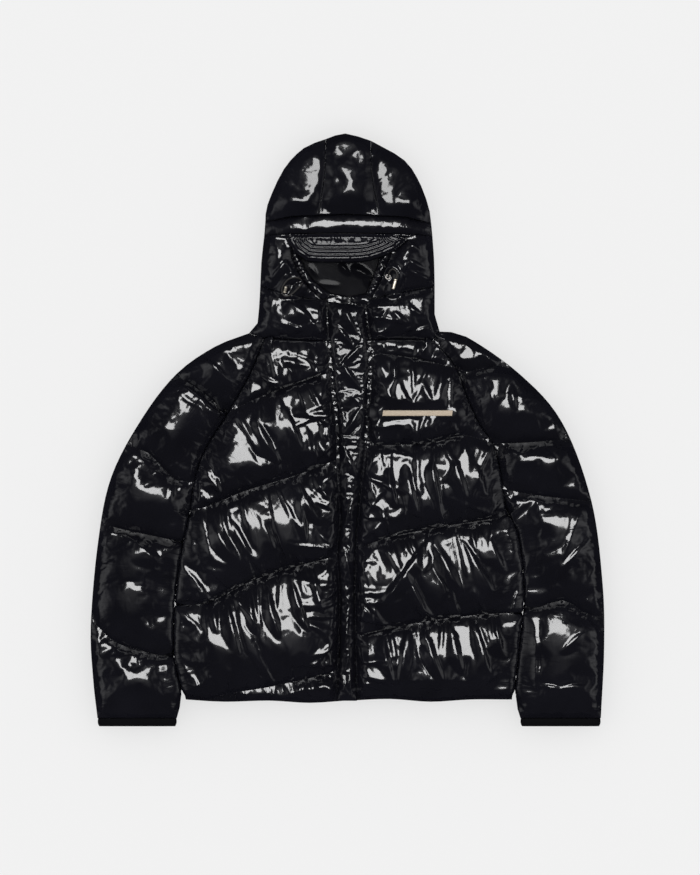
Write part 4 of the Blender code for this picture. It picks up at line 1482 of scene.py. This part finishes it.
@dataclass
class Drawcord:
    """The hood's cord: a loop on the right, a short tail on the left, their metal ends and the eyelet."""

    thick: float = 3.0 * MM
    right_mm: tuple[Triple, ...] = (
        (-82.5, 267, 58), (-87, 270.5, 67.5), (-96, 271.5, 70.5), (-106, 267.5, 69), (-113, 259.5, 66.5),
        (-117, 250, 64.5), (-114.5, 241, 63.5), (-107, 238.5, 63.5), (-98, 243, 66), (-90, 250.5, 68),
        (-84.5, 256.5, 69.5), (-80.5, 261.5, 66),
    )
    left_mm: tuple[Triple, ...] = (
        (72.2, 272.5, 66.5), (73, 277, 71), (75.5, 283, 74), (80.5, 286, 76), (86, 283, 77.5),
        (88.5, 276, 78), (86.5, 269.5, 77),
    )
    right_end_mm: tuple[Triple, Triple] = ((-112.2, 244.2, 64.8), (-109.4, 255.5, 67.8))
    left_end_mm: tuple[Triple, Triple] = ((86.1, 268.7, 76.8), (81.2, 250.5, 71))
    end_radius: float = 2.75 * MM
    eyelet_mm: Triple = (72.2, 272.5, 64.6)
    ring: tuple[float, float] = (3.95 * MM, 1.5 * MM)  # the eyelet's own radius and its rim's
    flattened: float = 0.6

    def line(self, marks: tuple[Triple, ...]) -> list[Vector]:
        """The cord's middle, as a smooth curve through its marks."""
        step = 1.5
        return [mark * MM for mark in smooth_curve(list(marks), step)]

    def rests(self) -> tuple[Rest, ...]:
        """How the cloth beds the cords, apart from where they go into it, their ends and the eyelet."""
        cord, tip = self.thick / 2, self.end_radius
        right, left = self.line(self.right_mm), self.line(self.left_mm)
        into = 4  # points of the cord that go through the cloth
        x, y, z = (part * MM for part in self.eyelet_mm)
        far, top = 4 * MM, z + self.ring[1]
        turns = (math.pi * k / 6 for k in range(13))
        ring = tuple(Vector((x + far * math.cos(t), y + far * math.sin(t), top)) for t in turns)
        ends = [tuple(Vector(mark) * MM for mark in end) for end in (self.right_end_mm, self.left_end_mm)]
        return (
            Rest(tuple(right[into:-into]), cord, cord),
            Rest(tuple(left[2 * into:]), cord, cord),
            *(Rest(end, tip, tip) for end in ends),
            Rest(ring, 2.5 * MM, self.ring[1]),
        )

    def tip(self, name: str, marks: tuple[Triple, Triple], node: str) -> Piece:
        """A crimped metal end: a tube with a collar and a domed tip."""
        foot, top = (Vector(mark) * MM for mark in marks)
        long = (top - foot).length / MM
        shares = (
            (0.6, 0.0), (0.86, 0.2), (1.0, 0.9), (1.0, 2.2), (0.84, 2.6), (0.84, 3.3), (0.95, 3.7),
            (0.9, long - 2.4), (0.98, long - 1.8), (0.9, long - 0.8), (0.6, long - 0.2), (0.2, long),
        )
        profile = [(share * self.end_radius, height * MM) for share, height in shares]
        where = Matrix.Translation(foot) @ (top - foot).to_track_quat("Z", "Y").to_matrix().to_4x4()
        piece = turned_piece(name, profile, where, PALE_METAL.material())
        return place(piece, Slot.METAL, node)

    def eyelet(self) -> None:
        """A rolled ring with a wide flange, pressed round the hole."""
        x, y, z = self.eyelet_mm
        major, minor = self.ring
        deselect()
        bpy.ops.mesh.primitive_torus_add(
            major_segments=40, minor_segments=14, major_radius=major, minor_radius=minor,
            location=(x * MM, y * MM, z * MM + self.flattened * minor),
        )
        ring = bpy.context.object
        ring.scale = (1, 1, self.flattened)
        bpy.ops.object.transform_apply(location=True, rotation=True, scale=True)
        bpy.ops.object.shade_smooth()
        ring.name = ring.data.name = "eyelet_left_ring"
        ring.data.materials.append(METAL.material())
        place(ring, Slot.METAL, "eyelet_left")
        deselect()

    def build(self) -> None:
        """Makes the cords, their ends and the eyelet."""
        for side, marks, ends, far_end in (
            ("right", self.right_mm, self.right_end_mm, "object"),
            ("left", self.left_mm, self.left_end_mm, "fitting"),
        ):
            node = f"drawcord_{side}"
            line = self.line(marks)
            cord = tube(node + "_braid", line, self.thick / 2, CORD.material(), 16)
            tip = self.tip(f"cord_tip_{side}", ends, f"cord_end_{side}")
            place(cord, Slot.CORD, node)
        self.eyelet()


@dataclass
class ChestBar:
    """A plain bar of satin stitch on the left chest."""

    node: str = "chest_bar"
    pitch: float = 0.46 * MM
    thread: float = 0.27 * MM
    slant: float = 1.6 * MM
    sunk: float = 0.2 * MM
    stray: Triple = (0.05 * MM, 0.2 * MM, 0.06 * MM)  # how far a thread may lie off its place

    def rests(self) -> tuple[Rest, ...]:
        """How the cloth lies flat under the bar."""
        (x0, y0, z0), (x1, y1, _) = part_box(self.node)
        middle, half = (y0 + y1) / 2, (y1 - y0) / 2
        return (Rest((Vector((x0, middle, z0)), Vector((x1, middle, z0))), half + 1 * MM, 0.0, 20 * MM),)

    def build(self) -> None:
        """Lays the threads side by side over a low crown."""
        (x0, y0, z0), (x1, y1, z1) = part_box(self.node)
        steps, low = 8, 0.25
        rise = []
        for t in (i / steps for i in range(steps + 1)):
            height = (z1 - z0) * (low + (1 - low) * math.sin(math.pi * t) ** 0.6)
            rise.append(Vector((self.slant * (t - 0.5), (y1 - y0) * t, height)))
        template = tube("satin_one", rise, self.thread, ECRU.material(), 6)
        draw = random.Random(7)
        places = []
        for i in range(int((x1 - x0 - self.slant) / self.pitch)):
            x = x0 + self.slant / 2 + (i + 0.5) * self.pitch
            stray = Vector([draw.uniform(-far, far) for far in self.stray])
            places.append(Matrix.Translation(Vector((x, y0, z0 - self.sunk)) + stray))
        place(copies("chest_bar_satin", template, places), Slot.THREAD, self.node)


# ---------------------------------------------------------------- studio


@dataclass
class Studio:
    """The pale floor, the lights and the camera straight above."""

    centre: tuple[float, float] = (0.0045, -0.0135)
    view_height: float = 1.563
    subject: float = 0.045  # height of the plane that fills the view
    lens: float = 120.0
    sensor: float = 24.0
    floor_half: float = 10.0
    floor_below: float = 1.0 * MM
    floor_glow: float = 0.605
    floor_colour: float = 0.28
    room: float = 0.06
    halo: float = 4.5  # soft light round the key
    halo_reach: float = 0.6  # cosine of the angle at which it ends
    halo_fall: float = 6.0
    sides: float = 2.6  # soft light from both sides
    side_way: Triple = (0.92, 0.0, 0.39)
    side_reach: float = 0.8
    side_fall: float = 3.0
    key_strength: float = 42.0
    key_rise: float = 69.0  # degrees over the floor
    key_far: float = 8.0
    key_size: tuple[float, float] = (4.6, 4.2)

    def build(self) -> None:
        """Builds the whole studio."""
        bpy.context.scene.view_settings.view_transform = "Standard"
        self.camera()
        self.floor()
        self.sky()
        self.key()

    def way_to_key(self) -> Vector:
        """The direction of the key light."""
        rise = math.radians(self.key_rise)
        return Vector((0.0, math.cos(rise), math.sin(rise)))

    def camera(self) -> None:
        """Puts the camera where the view height fills the frame."""
        lens = bpy.data.cameras.new("camera")
        lens.sensor_fit = "VERTICAL"
        lens.sensor_height = self.sensor
        lens.lens = self.lens
        camera = bpy.data.objects.new("camera", lens)
        camera.location = (*self.centre, self.subject + self.view_height * self.lens / self.sensor)
        bpy.context.scene.collection.objects.link(camera)
        bpy.context.scene.camera = camera

    def floor(self) -> None:
        """A wide pale floor that shows a faint contact shadow, and is black in the jacket's gloss."""
        material = bpy.data.materials.new("floor_paper")
        material.use_nodes = True
        inputs = material.node_tree.nodes["Principled BSDF"].inputs
        wiring = Wiring(material.node_tree)
        mirrored = wiring.add("LightPath").outputs["Is Glossy Ray"]
        for shade, name in ((self.floor_glow, "Emission Color"), (self.floor_colour, "Base Color")):
            shades = {6: (shade, shade, shade, 1), 7: (0, 0, 0, 1)}
            mixed = wiring.add("Mix", {0: mirrored, **shades}, data_type="RGBA").outputs[2]
            material.node_tree.links.new(mixed, inputs[name])
        for name, value in (("Roughness", 1.0), ("Specular IOR Level", 0.0), ("Emission Strength", 1.0)):
            inputs[name].default_value = value
        half, z = self.floor_half, -self.floor_below
        corners = [(-half, -half, z), (half, -half, z), (half, half, z), (-half, half, z)]
        add_piece("floor", corners, [(0, 1, 2, 3)], material)

    def sky(self) -> None:
        """Even light for plain surfaces and a dark room with soft lights for reflections."""
        world = bpy.data.worlds.new("room")
        world.use_nodes = True
        bpy.context.scene.world = world
        wiring = Wiring(world.node_tree)

        def glow(way: Socket, towards: Triple, reach: float, fall: float) -> Socket:
            """A soft light in one direction, from 0 where it ends to 1 in its middle."""
            near = wiring.add("VectorMath", {0: way, 1: towards}, operation="DOT_PRODUCT").outputs["Value"]
            return wiring.math("POWER", wiring.span(near, reach, 1.0, 0.0, 1.0), fall)

        way = wiring.add("TexCoord").outputs["Generated"]
        halo = glow(way, self.way_to_key(), self.halo_reach, self.halo_fall)
        aside = wiring.add("VectorMath", {0: way}, operation="ABSOLUTE").outputs[0]
        sides = glow(aside, self.side_way, self.side_reach, self.side_fall)
        lit = wiring.math("MULTIPLY_ADD", halo, self.halo, self.room)
        room = wiring.math("MULTIPLY_ADD", sides, self.sides, lit)
        mirrored = wiring.add("LightPath").outputs["Is Glossy Ray"]
        strength = wiring.add("Mix", {0: mirrored, 2: 1.0, 3: room}, data_type="FLOAT").outputs[0]
        sky = world.node_tree.nodes["Background"]
        sky.inputs["Color"].default_value = (1, 1, 1, 1)
        world.node_tree.links.new(strength, sky.inputs["Strength"])

    def key(self) -> None:
        """A flat light that faces the jacket and shows only in its gloss."""
        wide, high = self.key_size
        lamp = bpy.data.lights.new("key", "AREA")
        lamp.shape = "RECTANGLE"
        lamp.size, lamp.size_y = wide, high
        lamp.energy = self.key_strength * wide * high * math.pi
        light = bpy.data.objects.new("key", lamp)
        light.location = self.key_far * self.way_to_key()
        light.rotation_euler = (-self.way_to_key()).to_track_quat("-Z", "Y").to_euler()
        light.visible_diffuse = False
        bpy.context.scene.collection.objects.link(light)


def main() -> None:
    """Builds the jacket and its studio."""
    logging.basicConfig(level=logging.INFO, format="%(message)s")
    deselect()
    Studio().build()
    cords = Drawcord()
    cords.build()
    panels = panels_of_the_jacket(cords)
    Filling(panels).run()
    for panel in panels:
        panel.close()
        if panel.seam_lines:
            Stitches().row(f"{panel.node}_stitches", panel.seam_lines, panel.hangs)
    Peak().build()
    Lining().build()
    for side in ("right", "left"):
        Cuff(f"cuff_{side}").build()
    ZipChain().build()
    ChestBar().build()


if __name__ == "__main__":
    main()
